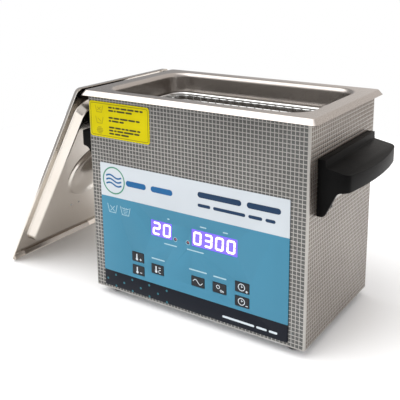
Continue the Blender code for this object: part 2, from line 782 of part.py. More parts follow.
def fan():
    rear = REAR - SHEET - GAP
    low = rear - FAN_THICK
    frame = box("fan_frame", around(FAN[0], FAN_SIZE), (low, rear), around(FAN[1], FAN_SIZE), bevel=1.5)
    middle = (FAN[0], (low + rear) / 2, FAN[1])
    combine(frame, [cylinder("fan_bore", FAN_BORE, 40.0, middle, "Y", CUTTERS, 32)])
    spider = (low, low + 2.4)
    arms = [
        box("arm", around(FAN[0], FAN_SIZE - 2.0), spider, around(FAN[1], 4.0), CUTTERS),
        box("upright_arm", around(FAN[0], 4.0), spider, around(FAN[1], FAN_SIZE - 2.0), CUTTERS),
        cylinder("bearing_seat", FAN_HUB, 2.4, (FAN[0], low + 1.2, FAN[1]), "Y", CUTTERS),
    ]
    combine(frame, arms, "UNION")
    combine(frame, [cylinder("bearing", 1.8, 12.0, (FAN[0], low, FAN[1]), "Y", CUTTERS, 12)])
    finish(frame, "black_plastic")

    hub_low = low + 3.0
    hub_high = rear - 1.5
    hub = [
        (0.0, hub_high),
        (FAN_HUB - 1.5, hub_high),
        (FAN_HUB, hub_high - 1.5),
        (FAN_HUB, hub_low),
        (1.5, hub_low),
        (1.5, low + 0.4),
        (0.0, low + 0.4),
    ]
    rotor = turned("fan_rotor", hub, (FAN[0], 0, FAN[1]), "Y")
    rotor.rotation_euler = (math.radians(-90), 0, 0)
    blades = []
    for index in range(FAN_BLADES):
        blade = box("blade", (FAN_HUB - 1.0, FAN_BORE - 1.2), around(0, 9.0), around(0, 1.2), CUTTERS)
        turn = Matrix.Rotation(2 * math.pi * index / FAN_BLADES, 4, "Y")
        pitch = Matrix.Rotation(math.radians(35), 4, "X")
        centre = Matrix.Translation(Vector((FAN[0], (hub_low + hub_high) / 2, FAN[1])) * MM)
        blade.matrix_world = centre @ turn @ Matrix.Translation(blade.location) @ pitch
        blades.append(blade)
    combine(rotor, [gathered("fan_blades", blades)], "UNION")
    finish(rotor, "black_plastic")


def power_inlet():
    x, z = INLET
    face = REAR + GAP
    flange = (around(x, INLET_FACE[0]), (face, face + 2.2), around(z, INLET_FACE[1]))
    inlet = box("power_inlet", *flange, bevel=0.8)
    body = (around(x, INLET_BODY[0]), (58.0, face + 1.0), around(z, INLET_BODY[1]))
    combine(inlet, [box("inlet_body", *body, CUTTERS)], "UNION")
    recess = (around(x, INLET_RECESS[0]), (face - 14.0, face + 5.0), around(z, INLET_RECESS[1]))
    pins = [
        box("pin", around(x + across, 2.0), (face - 15.0, face - 4.0), around(z + up, 4.0), CUTTERS)
        for across, up in ((0.0, 2.8), (-7.0, -1.8), (7.0, -1.8))
    ]
    combine(inlet, [box("inlet_recess", *recess, CUTTERS)])
    combine(inlet, [gathered("inlet_pins", pins)], "UNION")
    finish(inlet, "black_plastic")


def power_switch():
    x, z = SWITCH
    face = REAR + GAP
    flange = (around(x, SWITCH_FACE[0]), (face, face + 1.8), around(z, SWITCH_FACE[1]))
    case = box("switch_housing", *flange, bevel=0.6)
    body = (around(x, SWITCH_BODY[0]), (64.0, face + 1.0), around(z, SWITCH_BODY[1]))
    combine(case, [box("switch_body", *body, CUTTERS)], "UNION")
    well = (around(x, SWITCH_WELL[0]), (face - 11.0, face + 4.0), around(z, SWITCH_WELL[1]))
    combine(case, [box("rocker_well", *well, CUTTERS)])
    finish(case, "black_plastic")
    pivot = (x, REAR - 2.0, z)
    size = (around(x, ROCKER_FACE[0]), (REAR - 5.0, REAR + 2.7), around(z, ROCKER_FACE[1]))
    rocker = box("power_rocker", *size, bevel=0.6)
    turn = Matrix.Rotation(ROCKER_TILT, 4, "X")
    about = Matrix.Translation(Vector(pivot) * MM)
    rocker.matrix_world = about @ turn @ about.inverted() @ rocker.matrix_basis
    finish(rocker, "black_plastic")


def fuse_holder():
    face = REAR + GAP
    profile = [
        (0.0, face + 4.5),
        (6.6, face + 4.5),
        (8.0, face + 3.0),
        (8.0, face),
        (FUSE_BODY_RADIUS, face),
        (FUSE_BODY_RADIUS, 58.0),
        (0.0, 58.0),
    ]
    holder = turned("fuse_holder", profile, (FUSE[0], 0, FUSE[1]), "Y", steps=20)
    finish(holder, "black_plastic")


def wiring():
    mains = [(-92, 57.4, 45), (-92, 48, 44), (-88, 42, 36), (-78, 34, 27), (-66, 30, 26), (-62.4, 30, 26)]
    finish(wire("mains_wiring", smooth_route(mains), 2.2), "wire")
    drive = [(-27, -8, 108), (-20, -9, 100), (-14, -12, 78), (-12, -14, 60), (-11, -10, 54), (-10, -6, 51)]
    stack_side = [(-TRANSDUCER_X + STACK_RADIUS + 1.6, 0, 109), *drive]
    finish(wire("transducer_wiring", smooth_route(stack_side), 1.5), "wire")


def lid():
    pose = bpy.data.objects.new("lid_pose", None)
    PARTS.objects.link(pose)
    pose.empty_display_size = 0.05
    lip_in, lip_drop = LID_LIP
    flange = (LID_HALF[0] - lip_in, LID_HALF[1] - lip_in)
    rings = [
        rounded_ring(LID_HALF, 8.0, -lip_drop),
        rounded_ring(flange, 5.0, 0.0),
        rounded_ring((LID_PLUG_TOP[0] + 1.5, LID_PLUG_TOP[1] + 1.5), 19.5, 0.0),
        rounded_ring(LID_PLUG_TOP, 18.0, -1.5),
        rounded_ring(LID_PLUG, 15.0, 1.5 - LID_PLUG_DEPTH),
        rounded_ring((LID_PLUG[0] - 1.5, LID_PLUG[1] - 1.5), 13.5, -LID_PLUG_DEPTH),
        round_ring(DISH_RING, -LID_PLUG_DEPTH),
        round_ring(DISH_RING - 1.5, -LID_PLUG_DEPTH - DISH_STEP),
        round_ring(DISH_BOWL, -LID_PLUG_DEPTH - DISH_STEP),
    ]
    for step in range(1, 5):
        share = step / 5
        depth = DISH_DEPTH * (1 - (1 - share) ** 2)
        rings.append(round_ring(DISH_BOWL * (1 - share), -LID_PLUG_DEPTH - DISH_STEP - depth))
    shell = thicken(loft("lid_shell", rings, "floor"), LID_SHEET)
    vents = [
        cylinder("lid_vent", LID_VENT_RADIUS, 8.0, (u, v, -LID_PLUG_DEPTH), "Z", CUTTERS, 10)
        for u, v in LID_VENTS
    ]
    vent_cutter = gathered("lid_vents", vents)
    combine(shell, [vent_cutter])
    finish(shell, "polished")

    seat = -LID_PLUG_DEPTH - DISH_STEP + GAP
    crest = -4.0
    half = DISH_RING - 2.5
    foot_top = seat + LIFT_BAR_SHEET
    upper = [(half, foot_top), (half - 5.0, foot_top), (half - 10.0, crest - 1.0), (half - 13.0, crest)]
    arch = crest - LIFT_BAR_SHEET
    lower = [(half - 13.6, arch - 0.2), (half - 11.5, arch - 0.8), (half - 6.2, seat), (half, seat)]
    right = [*lower, *upper]
    left = [(-across, height) for across, height in reversed(right)]
    upright = (math.radians(90), 0, math.radians(90))
    bar = plate("lid_handle", [*right, *left], LIFT_BAR_WIDTH, (0, 0, 0), upright)
    finish(bar, "polished")

    for obj in (shell, vent_cutter, bar):
        obj.parent = pose
    # The closed lid turned about Y, so that its right end is up and its lower lip meets the table.
    sine, cosine = math.sin(LID_LEAN), math.cos(LID_LEAN)
    along = LID_HALF[0] + (lip_drop + LID_CLEARANCE) * cosine / sine
    pose.rotation_euler = Euler((0, -LID_LEAN, 0))
    pose.location = Vector((LID_FOOT_X + along * cosine, LID_MIDDLE_Y, along * sine)) * MM


def basket():
    band_low = BASKET_TOP - BASKET_BAND
    outer = (BASKET_RIM_HALF[0] - 2.0, BASKET_RIM_HALF[1] - 2.0)
    inner = (outer[0] - BASKET_WALL, outer[1] - BASKET_WALL)
    base_in = (BASKET_BASE_HALF[0] - BASKET_WALL, BASKET_BASE_HALF[1] - BASKET_WALL)
    rings = [
        rounded_ring(BASKET_BASE_HALF, 12.0, BASKET_FLOOR, 4),
        rounded_ring(outer, 16.0, band_low, 4),
        rounded_ring(BASKET_RIM_HALF, 18.0, band_low, 4),
        rounded_ring(BASKET_RIM_HALF, 18.0, BASKET_TOP, 4),
        rounded_ring(inner, 14.5, BASKET_TOP, 4),
        rounded_ring(base_in, 10.5, BASKET_FLOOR + BASKET_WALL, 4),
    ]
    tray = loft("basket", rings, "capped")
    low = TANK_FLOOR + GAP
    foot_height = BASKET_FLOOR + 0.5 - low
    foot_middle = low + foot_height / 2
    feet_made = [
        cylinder("basket_foot", 4.0, foot_height, (x, y, foot_middle), "Z", CUTTERS, 12)
        for x in (-BASKET_FEET[0], BASKET_FEET[0])
        for y in (-BASKET_FEET[1], BASKET_FEET[1])
    ]
    lugs = []
    holes = []
    pivot_x, pivot_z = BAIL_PIVOT
    for side in (-1, 1):
        for end in (-1, 1):
            x = sorted((side * (pivot_x - 3.2), side * (inner[0] + 0.8)))
            y = around(end * LUG_MIDDLE, 4.0)
            lugs.append(box("lug", x, y, (pivot_z - 3.6, pivot_z + 3.4), CUTTERS))
            hole = (side * pivot_x, end * LUG_MIDDLE, pivot_z)
            holes.append(cylinder("lug_hole", 2.0, 8.0, hole, "Y", CUTTERS, 12))
    combine(tray, [gathered("basket_feet", feet_made), gathered("basket_lugs", lugs)], "UNION")
    combine(tray, [gathered("basket_lug_holes", holes)])
    finish(tray, "polished")
    for name, side in (("basket_handle_left", -1), ("basket_handle_right", 1)):
        finish(bail(name, side * pivot_x, pivot_z), "polished")


def bail(name, x, pivot_z):
    """A wire handle that hangs down inside the basket from two lugs, with its ends turned inwards."""
    low = pivot_z - BAIL_DROP
    half = BAIL_HALF_WIDTH
    bend = BAIL_BEND
    side = [(33.0, pivot_z)]
    side += arc((half - 2.4, pivot_z - 2.4), 2.4, 90, 0, 3)
    side += arc((half - bend, low + bend), bend, 0, -90, 5)
    route = [(x, y, z) for y, z in side] + [(x, -y, z) for y, z in reversed(side)]
    return wire(name, route, BAIL_WIRE)


def settle(middle):
    """Hangs every loose object on one empty, which puts the whole object's box about the origin."""
    machine = bpy.data.objects.new("machine", None)
    PARTS.objects.link(machine)
    machine.empty_display_size = 0.1
    machine.location = Vector((*middle, 0)) * MM
    for obj in list(bpy.data.objects):
        if obj.parent is None and obj is not machine:
            obj.parent = machine


housing()
base_plate()
feet()
tank()
rim_gasket()
side_handle("handle_right", 1)
side_handle("handle_left", -1)
handle_screws()
control_overlay()
caution_label()
keys()
displays_and_lamps()
control_board()
generator()
transducer("transducer_left", -TRANSDUCER_X)
transducer("transducer_right", TRANSDUCER_X)
tank_heater()
fan()
power_inlet()
power_switch()
fuse_holder()
wiring()
lid()
basket()
settle(MACHINE_MIDDLE)
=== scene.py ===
"""Looks for a bench ultrasonic cleaner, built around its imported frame.

Lengths here are millimetres, measured from the middle of the housing at table height: +X to its right,
-Y to its front, +Z up. MACHINE turns them into the frame's metres.
"""

import math

import bmesh
import bpy
from mathutils import Matrix, Vector


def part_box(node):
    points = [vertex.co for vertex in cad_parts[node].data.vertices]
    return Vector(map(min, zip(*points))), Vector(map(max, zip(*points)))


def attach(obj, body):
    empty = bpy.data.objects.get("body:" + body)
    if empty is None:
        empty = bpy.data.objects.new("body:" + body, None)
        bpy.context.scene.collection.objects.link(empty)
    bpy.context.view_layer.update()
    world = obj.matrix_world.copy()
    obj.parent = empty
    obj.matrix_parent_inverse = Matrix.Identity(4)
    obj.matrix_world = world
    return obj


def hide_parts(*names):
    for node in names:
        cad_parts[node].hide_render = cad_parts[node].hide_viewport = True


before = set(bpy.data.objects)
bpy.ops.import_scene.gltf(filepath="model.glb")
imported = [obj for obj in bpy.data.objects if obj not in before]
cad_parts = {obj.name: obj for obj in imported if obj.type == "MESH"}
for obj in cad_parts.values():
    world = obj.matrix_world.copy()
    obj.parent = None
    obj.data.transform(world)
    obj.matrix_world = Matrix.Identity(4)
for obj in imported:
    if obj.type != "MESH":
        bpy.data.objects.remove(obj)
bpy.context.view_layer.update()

MM = 0.001
HOUSING_LOW, HOUSING_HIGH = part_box("housing_shell")
MIDDLE = Vector(((HOUSING_LOW.x + HOUSING_HIGH.x) / 2, (HOUSING_LOW.y + HOUSING_HIGH.y) / 2, 0))
MACHINE = Matrix.Translation(MIDDLE) @ Matrix.Scale(MM, 4)


def spans(node):
    """The (low, high) limits of a CAD node along x, y and z, in this file's millimetres."""
    low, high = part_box(node)
    near = (low - MIDDLE) / MM
    far = (high - MIDDLE) / MM
    return tuple(zip(near, far))


HOUSING_X, HOUSING_Y, HOUSING_Z = spans("housing_shell")
SIDE = HOUSING_X[1]
REAR = HOUSING_Y[1]
SHEET = 1.0
GAP = 0.3


# ---------------------------------------------------------------- mesh helpers


def placed(name, data):
    obj = bpy.data.objects.new(name, data)
    bpy.context.scene.collection.objects.link(obj)
    return obj


def mesh_object(name, build, space=MACHINE):
    """An object whose mesh is filled in by build, a function that takes an empty bmesh."""
    work = bmesh.new()
    build(work)
    bmesh.ops.transform(work, matrix=space, verts=work.verts)
    mesh = bpy.data.meshes.new(name)
    work.to_mesh(mesh)
    work.free()
    return placed(name, mesh)


def applied(obj):
    """Replaces an object's mesh by what its modifiers make of it."""
    bpy.context.view_layer.update()
    graph = bpy.context.evaluated_depsgraph_get()
    mesh = bpy.data.meshes.new_from_object(obj.evaluated_get(graph))
    mesh.name = obj.name
    obj.modifiers.clear()
    obj.data = mesh
    return obj


def boolean(target, other, operation="DIFFERENCE"):
    """Cuts the other from the target, or unites or intersects it with it, and removes the other."""
    change = target.modifiers.new("cut", "BOOLEAN")
    change.operation = operation
    change.object = other
    applied(target)
    bpy.data.objects.remove(other)


def thickened(obj, thickness):
    """Gives an open sheet its thickness, on the inner side."""
    sheet = obj.modifiers.new("sheet", "SOLIDIFY")
    sheet.thickness = thickness * MM
    sheet.offset = -1.0
    sheet.use_even_offset = True
    return applied(obj)


def rounding(obj, width, segments=3, angle=35.0):
    change = obj.modifiers.new("rounding", "BEVEL")
    change.width = width * MM
    change.segments = segments
    change.limit_method = "ANGLE"
    change.angle_limit = math.radians(angle)
    return applied(obj)


def smooth(obj, angle=40.0):
    obj.data.shade_smooth()
    obj.data.set_sharp_from_angle(angle=math.radians(angle))
    return obj


def arc(centre, radius, start, end, steps):
    """Points on an arc, with its angles in degrees."""
    angles = [math.radians(start + (end - start) * step / steps) for step in range(steps + 1)]
    return [(centre[0] + radius * math.cos(a), centre[1] + radius * math.sin(a)) for a in angles]


def rounded_outline(half, radius, steps=6, centre=(0.0, 0.0)):
    """A rectangle with round corners as (x, y) points, counter-clockwise."""
    points = []
    for quarter, (side, end) in enumerate(((1, 1), (-1, 1), (-1, -1), (1, -1))):
        corner = (centre[0] + side * (half[0] - radius), centre[1] + end * (half[1] - radius))
        points += arc(corner, radius, 90 * quarter, 90 * (quarter + 1), steps)
    return points


def ring(half, radius, height, steps=12):
    return [(x, y, height) for x, y in rounded_outline(half, radius, steps)]


def round_ring(radius, height, steps=12):
    """A circle with as many points as ring, turned so that the two line up."""
    count = 4 * (steps + 1)
    angles = [2 * math.pi * (step + 0.5) / count for step in range(count)]
    return [(radius * math.cos(a), radius * math.sin(a), height) for a in angles]


def inset(half, by):
    """A pair of half sizes, each smaller by so much."""
    return (half[0] - by, half[1] - by)


def middle_of(x, z):
    """The middle of two pairs of limits."""
    return (sum(x) / 2, sum(z) / 2)


def skin(work, rows, joined=False, capped=True):
    """Faces between rows of vertices, whose last row meets the first or whose end rows get faces."""
    pairs = list(zip(rows, rows[1:]))
    if joined:
        pairs.append((rows[-1], rows[0]))
    for row, following in pairs:
        for index in range(len(row)):
            after = (index + 1) % len(row)
            work.faces.new((row[index], row[after], following[after], following[index]))
    if capped and not joined:
        work.faces.new(reversed(rows[0]))
        work.faces.new(rows[-1])


def loft(work, rings, joined=False):
    """Faces over rings of equal length, which meet at the ends or else have a floor at the last."""
    rows = [[work.verts.new(point) for point in points] for points in rings]
    skin(work, rows, joined, capped=False)
    if not joined:
        work.faces.new(rows[-1])


def lathe(work, profile, space, steps=48):
    """A closed outline of (radius, height) points turned about the local z axis."""
    rows = []
    for radius, height in profile:
        if radius < 1e-6:
            rows.append([work.verts.new(space @ Vector((0, 0, height)))])
            continue
        angles = [2 * math.pi * step / steps for step in range(steps)]
        points = [Vector((radius * math.cos(a), radius * math.sin(a), height)) for a in angles]
        rows.append([work.verts.new(space @ point) for point in points])
    for row, following in zip(rows, rows[1:]):
        for index in range(steps):
            after = (index + 1) % steps
            corners = [row[index % len(row)], following[index % len(following)]]
            corners += [following[after % len(following)], row[after % len(row)]]
            work.faces.new(list(dict.fromkeys(corners)))


def neighbours(path, closed):
    """Each point of a path between the ones before and after it, or itself where an open path ends."""
    last = len(path) - 1
    for index, point in enumerate(path):
        before = path[index - 1] if closed or index else point
        after = path[(index + 1) % len(path)] if closed or index < last else point
        yield before, point, after


def tube(work, points, radius, sides=8, closed=False):
    """A round wire along a list of points."""
    rows = []
    across = None
    for before, point, after in neighbours([Vector(point) for point in points], closed):
        ahead = (after - before).normalized()
        if across is None:
            across = ahead.orthogonal().normalized()
        across = (across - ahead * across.dot(ahead)).normalized()
        up = ahead.cross(across)
        turns = [2 * math.pi * step / sides for step in range(sides)]
        circle_points = [point + (across * math.cos(t) + up * math.sin(t)) * radius for t in turns]
        rows.append([work.verts.new(place) for place in circle_points])
    skin(work, rows, closed)


def block(work, x, y, z):
    """A box between pairs of limits."""
    middle = Vector((sum(x) / 2, sum(y) / 2, sum(z) / 2))
    size = Matrix.Diagonal((x[1] - x[0], y[1] - y[0], z[1] - z[0], 1))
    bmesh.ops.create_cube(work, size=1.0, matrix=Matrix.Translation(middle) @ size)


def around(middle, size):
    return (middle - size / 2, middle + size / 2)


# ---------------------------------------------------------------- flat prints

# Each side of the housing as (a point on its face, the direction of rising print, the way out).
FACES = {
    "front": (Vector((0, -REAR, 0)), Vector((1, 0, 0)), Vector((0, -1, 0))),
    "rear": (Vector((0, REAR, 0)), Vector((-1, 0, 0)), Vector((0, 1, 0))),
    "right": (Vector((SIDE, 0, 0)), Vector((0, 1, 0)), Vector((1, 0, 0))),
    "left": (Vector((-SIDE, 0, 0)), Vector((0, -1, 0)), Vector((-1, 0, 0))),
}


def on_face(face, along, up, out):
    origin, direction, outward = FACES[face]
    return origin + direction * along + Vector((0, 0, up)) + outward * out


def slab(work, face, outline, out):
    """A flat print or plate with a convex or simple outline, between two heights off the housing."""
    skin(work, [[work.verts.new(on_face(face, x, z, height)) for x, z in outline] for height in out])


def stroke(work, face, points, width, out, closed=False):
    """A printed line of even width along (x, z) points."""
    rows = []
    for before, point, after in neighbours([Vector(point) for point in points], closed):
        ahead = (after - before).normalized()
        side = Vector((-ahead.y, ahead.x)) * (width / 2)
        if before is not point and after is not point:
            bend = (point - before).normalized().dot((after - point).normalized())
            side /= max(math.sqrt((1 + bend) / 2), 0.5)
        corners = [(1, out[1]), (-1, out[1]), (-1, out[0]), (1, out[0])]
        edges = [(point + side * sign, height) for sign, height in corners]
        rows.append([work.verts.new(on_face(face, place.x, place.y, height)) for place, height in edges])
    skin(work, rows, closed)


def disc(work, face, centre, radius, out, steps=24):
    slab(work, face, arc(centre, radius, 0, 360 - 360 / steps, steps - 1), out)


def circle(work, face, centre, radius, width, out, steps=32):
    stroke(work, face, arc(centre, radius, 0, 360 - 360 / steps, steps - 1), width, out, closed=True)


def bar(work, face, x, z, out, radius=None):
    """A rounded rectangle between limits."""
    half = ((x[1] - x[0]) / 2, (z[1] - z[0]) / 2)
    corner = min(half) * 0.98 if radius is None else radius
    slab(work, face, rounded_outline(half, corner, 4, middle_of(x, z)), out)


def print_words(work, face, start, height, words, out):
    """A line of plain bars as long as the words that they stand for."""
    x, z = start
    for length in words:
        bar(work, face, (x, x + length), (z, z + height), out)
        x += length + height


# ---------------------------------------------------------------- finishes


def add_node(tree, kind, inputs=None, **settings):
    """A new node, its inputs set to values or linked to the sockets that are given."""
    made = tree.nodes.new(kind)
    for key, value in settings.items():
        setattr(made, key, value)
    for socket, value in (inputs or {}).items():
        if isinstance(value, bpy.types.NodeSocket):
            tree.links.new(value, made.inputs[socket])
        else:
            made.inputs[socket].default_value = value
    return made


class Finish:
    """A Principled material with the texture nodes that feed it. Sizes are millimetres."""

    def __init__(self, name, metallic, roughness, **constants):
        self.made = bpy.data.materials.new(name)
        self.made.use_nodes = True
        self.tree = self.made.node_tree
        self.shader = self.tree.nodes["Principled BSDF"]
        self.shader.inputs["Metallic"].default_value = metallic
        self.shader.inputs["Roughness"].default_value = roughness
        for socket, value in constants.items():
            self.shader.inputs[socket.replace("_", " ")].default_value = value
        self.place = self.node("ShaderNodeTexCoord").outputs["Object"]

    def node(self, kind, inputs=None, **settings):
        return add_node(self.tree, kind, inputs, **settings)

    def to_shader(self, socket, value):
        self.tree.links.new(value, self.shader.inputs[socket])
        return self

    def stretched(self, stretch):
        return self.node("ShaderNodeMapping", {"Vector": self.place, "Scale": stretch}).outputs["Vector"]

    def noise(self, size, stretch=(1, 1, 1), detail=3.0):
        """Noise with features of about this size, drawn out along an axis whose stretch is under 1."""
        place = self.stretched(stretch)
        inputs = {"Vector": place, "Scale": 1 / (size * MM), "Detail": detail}
        return self.node("ShaderNodeTexNoise", inputs).outputs["Fac"]

    def ramp(self, factor, stops, interpolation="LINEAR"):
        """Colours at places along the factor, as {place: colour}."""
        made = self.node("ShaderNodeValToRGB", {"Fac": factor})
        made.color_ramp.interpolation = interpolation
        elements = made.color_ramp.elements
        for index, (place, colour) in enumerate(stops.items()):
            element = elements[index] if index < 2 else elements.new(place)
            element.position = place
            element.color = (*colour, 1)
        return made.outputs["Color"]

    def spread(self, factor, low, high):
        inputs = {"Value": factor, "From Min": 0.3, "From Max": 0.7, "To Min": low, "To Max": high}
        return self.node("ShaderNodeMapRange", inputs).outputs["Result"]

    def bump(self, height, depth, strength=1.0):
        inputs = {"Height": height, "Distance": depth * MM, "Strength": strength}
        return self.to_shader("Normal", self.node("ShaderNodeBump", inputs).outputs["Normal"])

    def mottled(self, size, dark, light, stretch=(1, 1, 1)):
        self.to_shader("Base Color", self.ramp(self.noise(size, stretch), {0.3: dark, 0.7: light}))
        return self


def sheet_steel(name, dark, light, roughness, brush=(1, 1, 1), depth=0.01):
    """Stainless sheet: faint clouding, finely brushed along the axis whose brush value is under 1."""
    made = Finish(name, 1.0, roughness)
    made.mottled(60, dark, light)
    grain = made.noise(0.35, brush, 2.0)
    made.to_shader("Roughness", made.spread(grain, roughness * 0.8, roughness * 1.25))
    return made.bump(grain, depth).made


def moulding(name, dark, light, roughness, grain=0.4, depth=0.03, specular=0.3):
    """Moulded plastic, rubber or film with a fine sparked texture."""
    made = Finish(name, 0.0, roughness, Specular_IOR_Level=specular)
    made.mottled(25, dark, light)
    speckle = made.noise(grain, detail=2.0)
    made.to_shader("Roughness", made.spread(speckle, roughness * 0.85, roughness * 1.15))
    return made.bump(speckle, depth).made


def printed(name, colour, roughness=0.45, glow=0.0):
    """Screen-print ink, very slightly uneven, or a lit pane."""
    made = Finish(name, 0.0, roughness, Specular_IOR_Level=0.2)
    made.mottled(3, tuple(c * 0.93 for c in colour), colour)
    if glow:
        made.shader.inputs["Emission Color"].default_value = (*colour, 1)
        made.shader.inputs["Emission Strength"].default_value = glow
    return made.bump(made.noise(0.5), 0.004).made


DARK_TOP = 33.3
BLUE_TOP = 125.0
FILM_SPAN = 200.0
DARK_BAND = (0.009, 0.011, 0.017)
BLUE_BAND = (0.062, 0.222, 0.33)
WHITE_BAND = (0.545, 0.585, 0.62)


def banded_film():
    """The control film: white above, blue in the middle, near black along the foot."""
    made = Finish("overlay_film", 0.0, 0.4, Specular_IOR_Level=0.1)
    height = made.node("ShaderNodeSeparateXYZ", {"Vector": made.place}).outputs["Z"]
    inputs = {"Value": height, "From Max": FILM_SPAN * MM}
    share = made.node("ShaderNodeMapRange", inputs).outputs["Result"]
    bands = {0.0: DARK_BAND, DARK_TOP / FILM_SPAN: BLUE_BAND, BLUE_TOP / FILM_SPAN: WHITE_BAND}
    colour = made.ramp(share, bands, "CONSTANT")
    tint = made.ramp(made.noise(40), {0.3: (0.96, 0.96, 0.96), 0.7: (1, 1, 1)})
    inputs = {0: colour, 1: tint}
    mixed = made.node("ShaderNodeVectorMath", inputs, operation="MULTIPLY").outputs["Vector"]
    made.to_shader("Base Color", mixed)
    return made.bump(made.noise(0.6), 0.004).made


def circuit_board(name, dark, light):
    """Solder mask over copper tracks."""
    made = Finish(name, 0.0, 0.35)
    inputs = {"Vector": made.place, "Scale": 260.0, "Randomness": 0.4}
    tracks = made.node("ShaderNodeTexVoronoi", inputs, feature="DISTANCE_TO_EDGE")
    made.to_shader("Base Color", made.ramp(tracks.outputs["Distance"], {0.02: light, 0.1: dark}))
    return made.bump(tracks.outputs["Distance"], 0.05).made


def wound(name, dark, light):
    """Layers of enamelled wire."""
    made = Finish(name, 0.7, 0.35)
    inputs = {"Vector": made.place, "Scale": 320.0, "Distortion": 0.2}
    turns = made.node("ShaderNodeTexWave", inputs, bands_direction="Z").outputs["Fac"]
    made.to_shader("Base Color", made.ramp(turns, {0.2: dark, 0.8: light}))
    return made.bump(turns, 0.2).made


BRUSHED_X = (0.02, 1, 1)
BRUSHED_Z = (1, 1, 0.02)

# Each finish by its name, with what its maker takes after the name.
STEELS = {
    "housing_steel": ((0.40, 0.385, 0.365), (0.46, 0.445, 0.42), 0.34),
    # The cushions get a much darker steel than the sheet between them, though the real sheet is one steel:
    # painted shade and reflection that make the embossing stand out.
    "stud_steel": ((0.11, 0.11, 0.105), (0.14, 0.14, 0.135), 0.32),
    # The side cushions get a lighter copy of the same dark cushion steel than the front and rear ones:
    # painted light that differs by face, on top of the painted shade.
    "side_stud_steel": ((0.20, 0.172, 0.15), (0.235, 0.205, 0.18), 0.32),
    "tank_steel": ((0.43, 0.395, 0.365), (0.48, 0.44, 0.41), 0.28, (1, 1, 1), 0.0003),
    "polished_steel": ((0.72, 0.665, 0.60), (0.78, 0.73, 0.67), 0.17, (1, 1, 1), 0.002),
    "basket_wire": ((0.62, 0.62, 0.61), (0.72, 0.72, 0.71), 0.22, (1, 1, 1), 0.004),
    "zinc_steel": ((0.50, 0.51, 0.53), (0.60, 0.61, 0.63), 0.38),
    "aluminium": ((0.68, 0.69, 0.70), (0.76, 0.77, 0.78), 0.36, BRUSHED_Z),
    "rating_silver": ((0.60, 0.60, 0.60), (0.68, 0.68, 0.68), 0.45, BRUSHED_X),
    "pin_brass": ((0.62, 0.54, 0.36), (0.72, 0.64, 0.44), 0.3),
}
MOULDINGS = {
    "black_plastic": ((0.003, 0.003, 0.003), (0.005, 0.005, 0.005), 0.42, 0.4, 0.03, 0.06),
    "foot_rubber": ((0.012, 0.012, 0.012), (0.022, 0.022, 0.022), 0.8, 0.8, 0.06),
    "gasket_silicone": ((0.30, 0.31, 0.32), (0.38, 0.39, 0.40), 0.65),
    "key_film": ((0.008, 0.009, 0.012), (0.014, 0.015, 0.019), 0.36, 0.5, 0.006),
    "piezo_ceramic": ((0.62, 0.58, 0.50), (0.74, 0.71, 0.62), 0.45),
    "wire_insulation": ((0.45, 0.04, 0.03), (0.58, 0.06, 0.05), 0.5),
    "label_film": ((0.53, 0.455, 0.0), (0.59, 0.505, 0.001), 0.5, 0.5, 0.004, 0.1),
    "lamp_lens": ((0.35, 0.10, 0.12), (0.45, 0.16, 0.17), 0.15, 1.0, 0.01),
}
PRINTS = {
    "label_ink": ((0.05, 0.044, 0.008),),
    "label_shade": ((0.34, 0.29, 0.0),),
    "white_ink": ((0.60, 0.66, 0.70),),
    "pale_ink": ((0.36, 0.53, 0.60),),
    "teal_ink": ((0.03, 0.14, 0.18),),
    "navy_ink": ((0.010, 0.035, 0.085),),
    "emblem_ink": ((0.012, 0.11, 0.28),),
    "emblem_green": ((0.08, 0.26, 0.17),),
    "digit_light": ((0.92, 0.88, 1.0), 0.3, 1.0),
    "digit_halo": ((0.42, 0.34, 0.95), 0.3, 0.75),
    "display_lens": ((0.15, 0.10, 0.72), 0.2, 0.75),
}
PAINTS = {
    "overlay_film": banded_film(),
    "circuit_board": circuit_board("circuit_board", (0.012, 0.10, 0.045), (0.03, 0.20, 0.09)),
    "winding_copper": wound("winding_copper", (0.30, 0.10, 0.04), (0.70, 0.32, 0.16)),
}
for maker, table in ((sheet_steel, STEELS), (moulding, MOULDINGS), (printed, PRINTS)):
    PAINTS.update({name: maker(name, *values) for name, values in table.items()})


def dress(obj, paint, body, replaced=()):
    """Gives a new piece its finish and its body, and hides the CAD nodes that it stands for."""
    obj.data.materials.clear()
    obj.data.materials.append(PAINTS[paint])
    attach(obj, body)
    if replaced:
        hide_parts(*replaced)
    return obj


# ---------------------------------------------------------------- housing

EMBOSS_PITCH = 4.3
STUD_BASE = 1.75
STUD_TOP = 0.95
STUD_HEIGHT = 0.27
STUD_ROOT = -0.4
SQUARE = ((-1, -1), (1, -1), (1, 1), (-1, 1))
PLAIN_EDGE = 2.0
LAPPED = 3.0
FLANGE_CLEAR = 0.4
RATING_X = (-110.0, -35.0)
RATING_Z = (120.0, 165.0)


def grown(span, margin):
    return (span[0] - margin, span[1] + margin)


def stud(work, face, x, z):
    """One cushion as three square rings, the first of them sunk in the sheet."""
    shape = ((STUD_BASE, STUD_ROOT), (STUD_BASE, 0.0), (STUD_TOP, STUD_HEIGHT))
    rings = [[work.verts.new(on_face(face, x + r * i, z + r * j, h)) for i, j in SQUARE] for r, h in shape]
    skin(work, rings)


def studs(face, half_width, kept_clear, paint):
    """The raised cushions of the embossed sheet on one side, away from whatever lies on it."""
    columns = int(2 * (half_width - STUD_BASE) / EMBOSS_PITCH) + 1
    rows = int((HOUSING_Z[1] - HOUSING_Z[0] - 2 * STUD_BASE) / EMBOSS_PITCH) + 1
    middle = sum(HOUSING_Z) / 2

    def build(work):
        for column in range(columns):
            x = (column - (columns - 1) / 2) * EMBOSS_PITCH
            for row in range(rows):
                z = middle + (row - (rows - 1) / 2) * EMBOSS_PITCH
                if not any(a[0] < x < a[1] and b[0] < z < b[1] for a, b in kept_clear):
                    stud(work, face, x, z)

    obj = mesh_object(f"{face}_embossing", build)
    obj.data.shade_smooth()
    dress(obj, paint, "cleaner")


def front_limits(node, margin):
    x, _, z = spans(node)
    return (grown(x, margin), grown(z, margin))


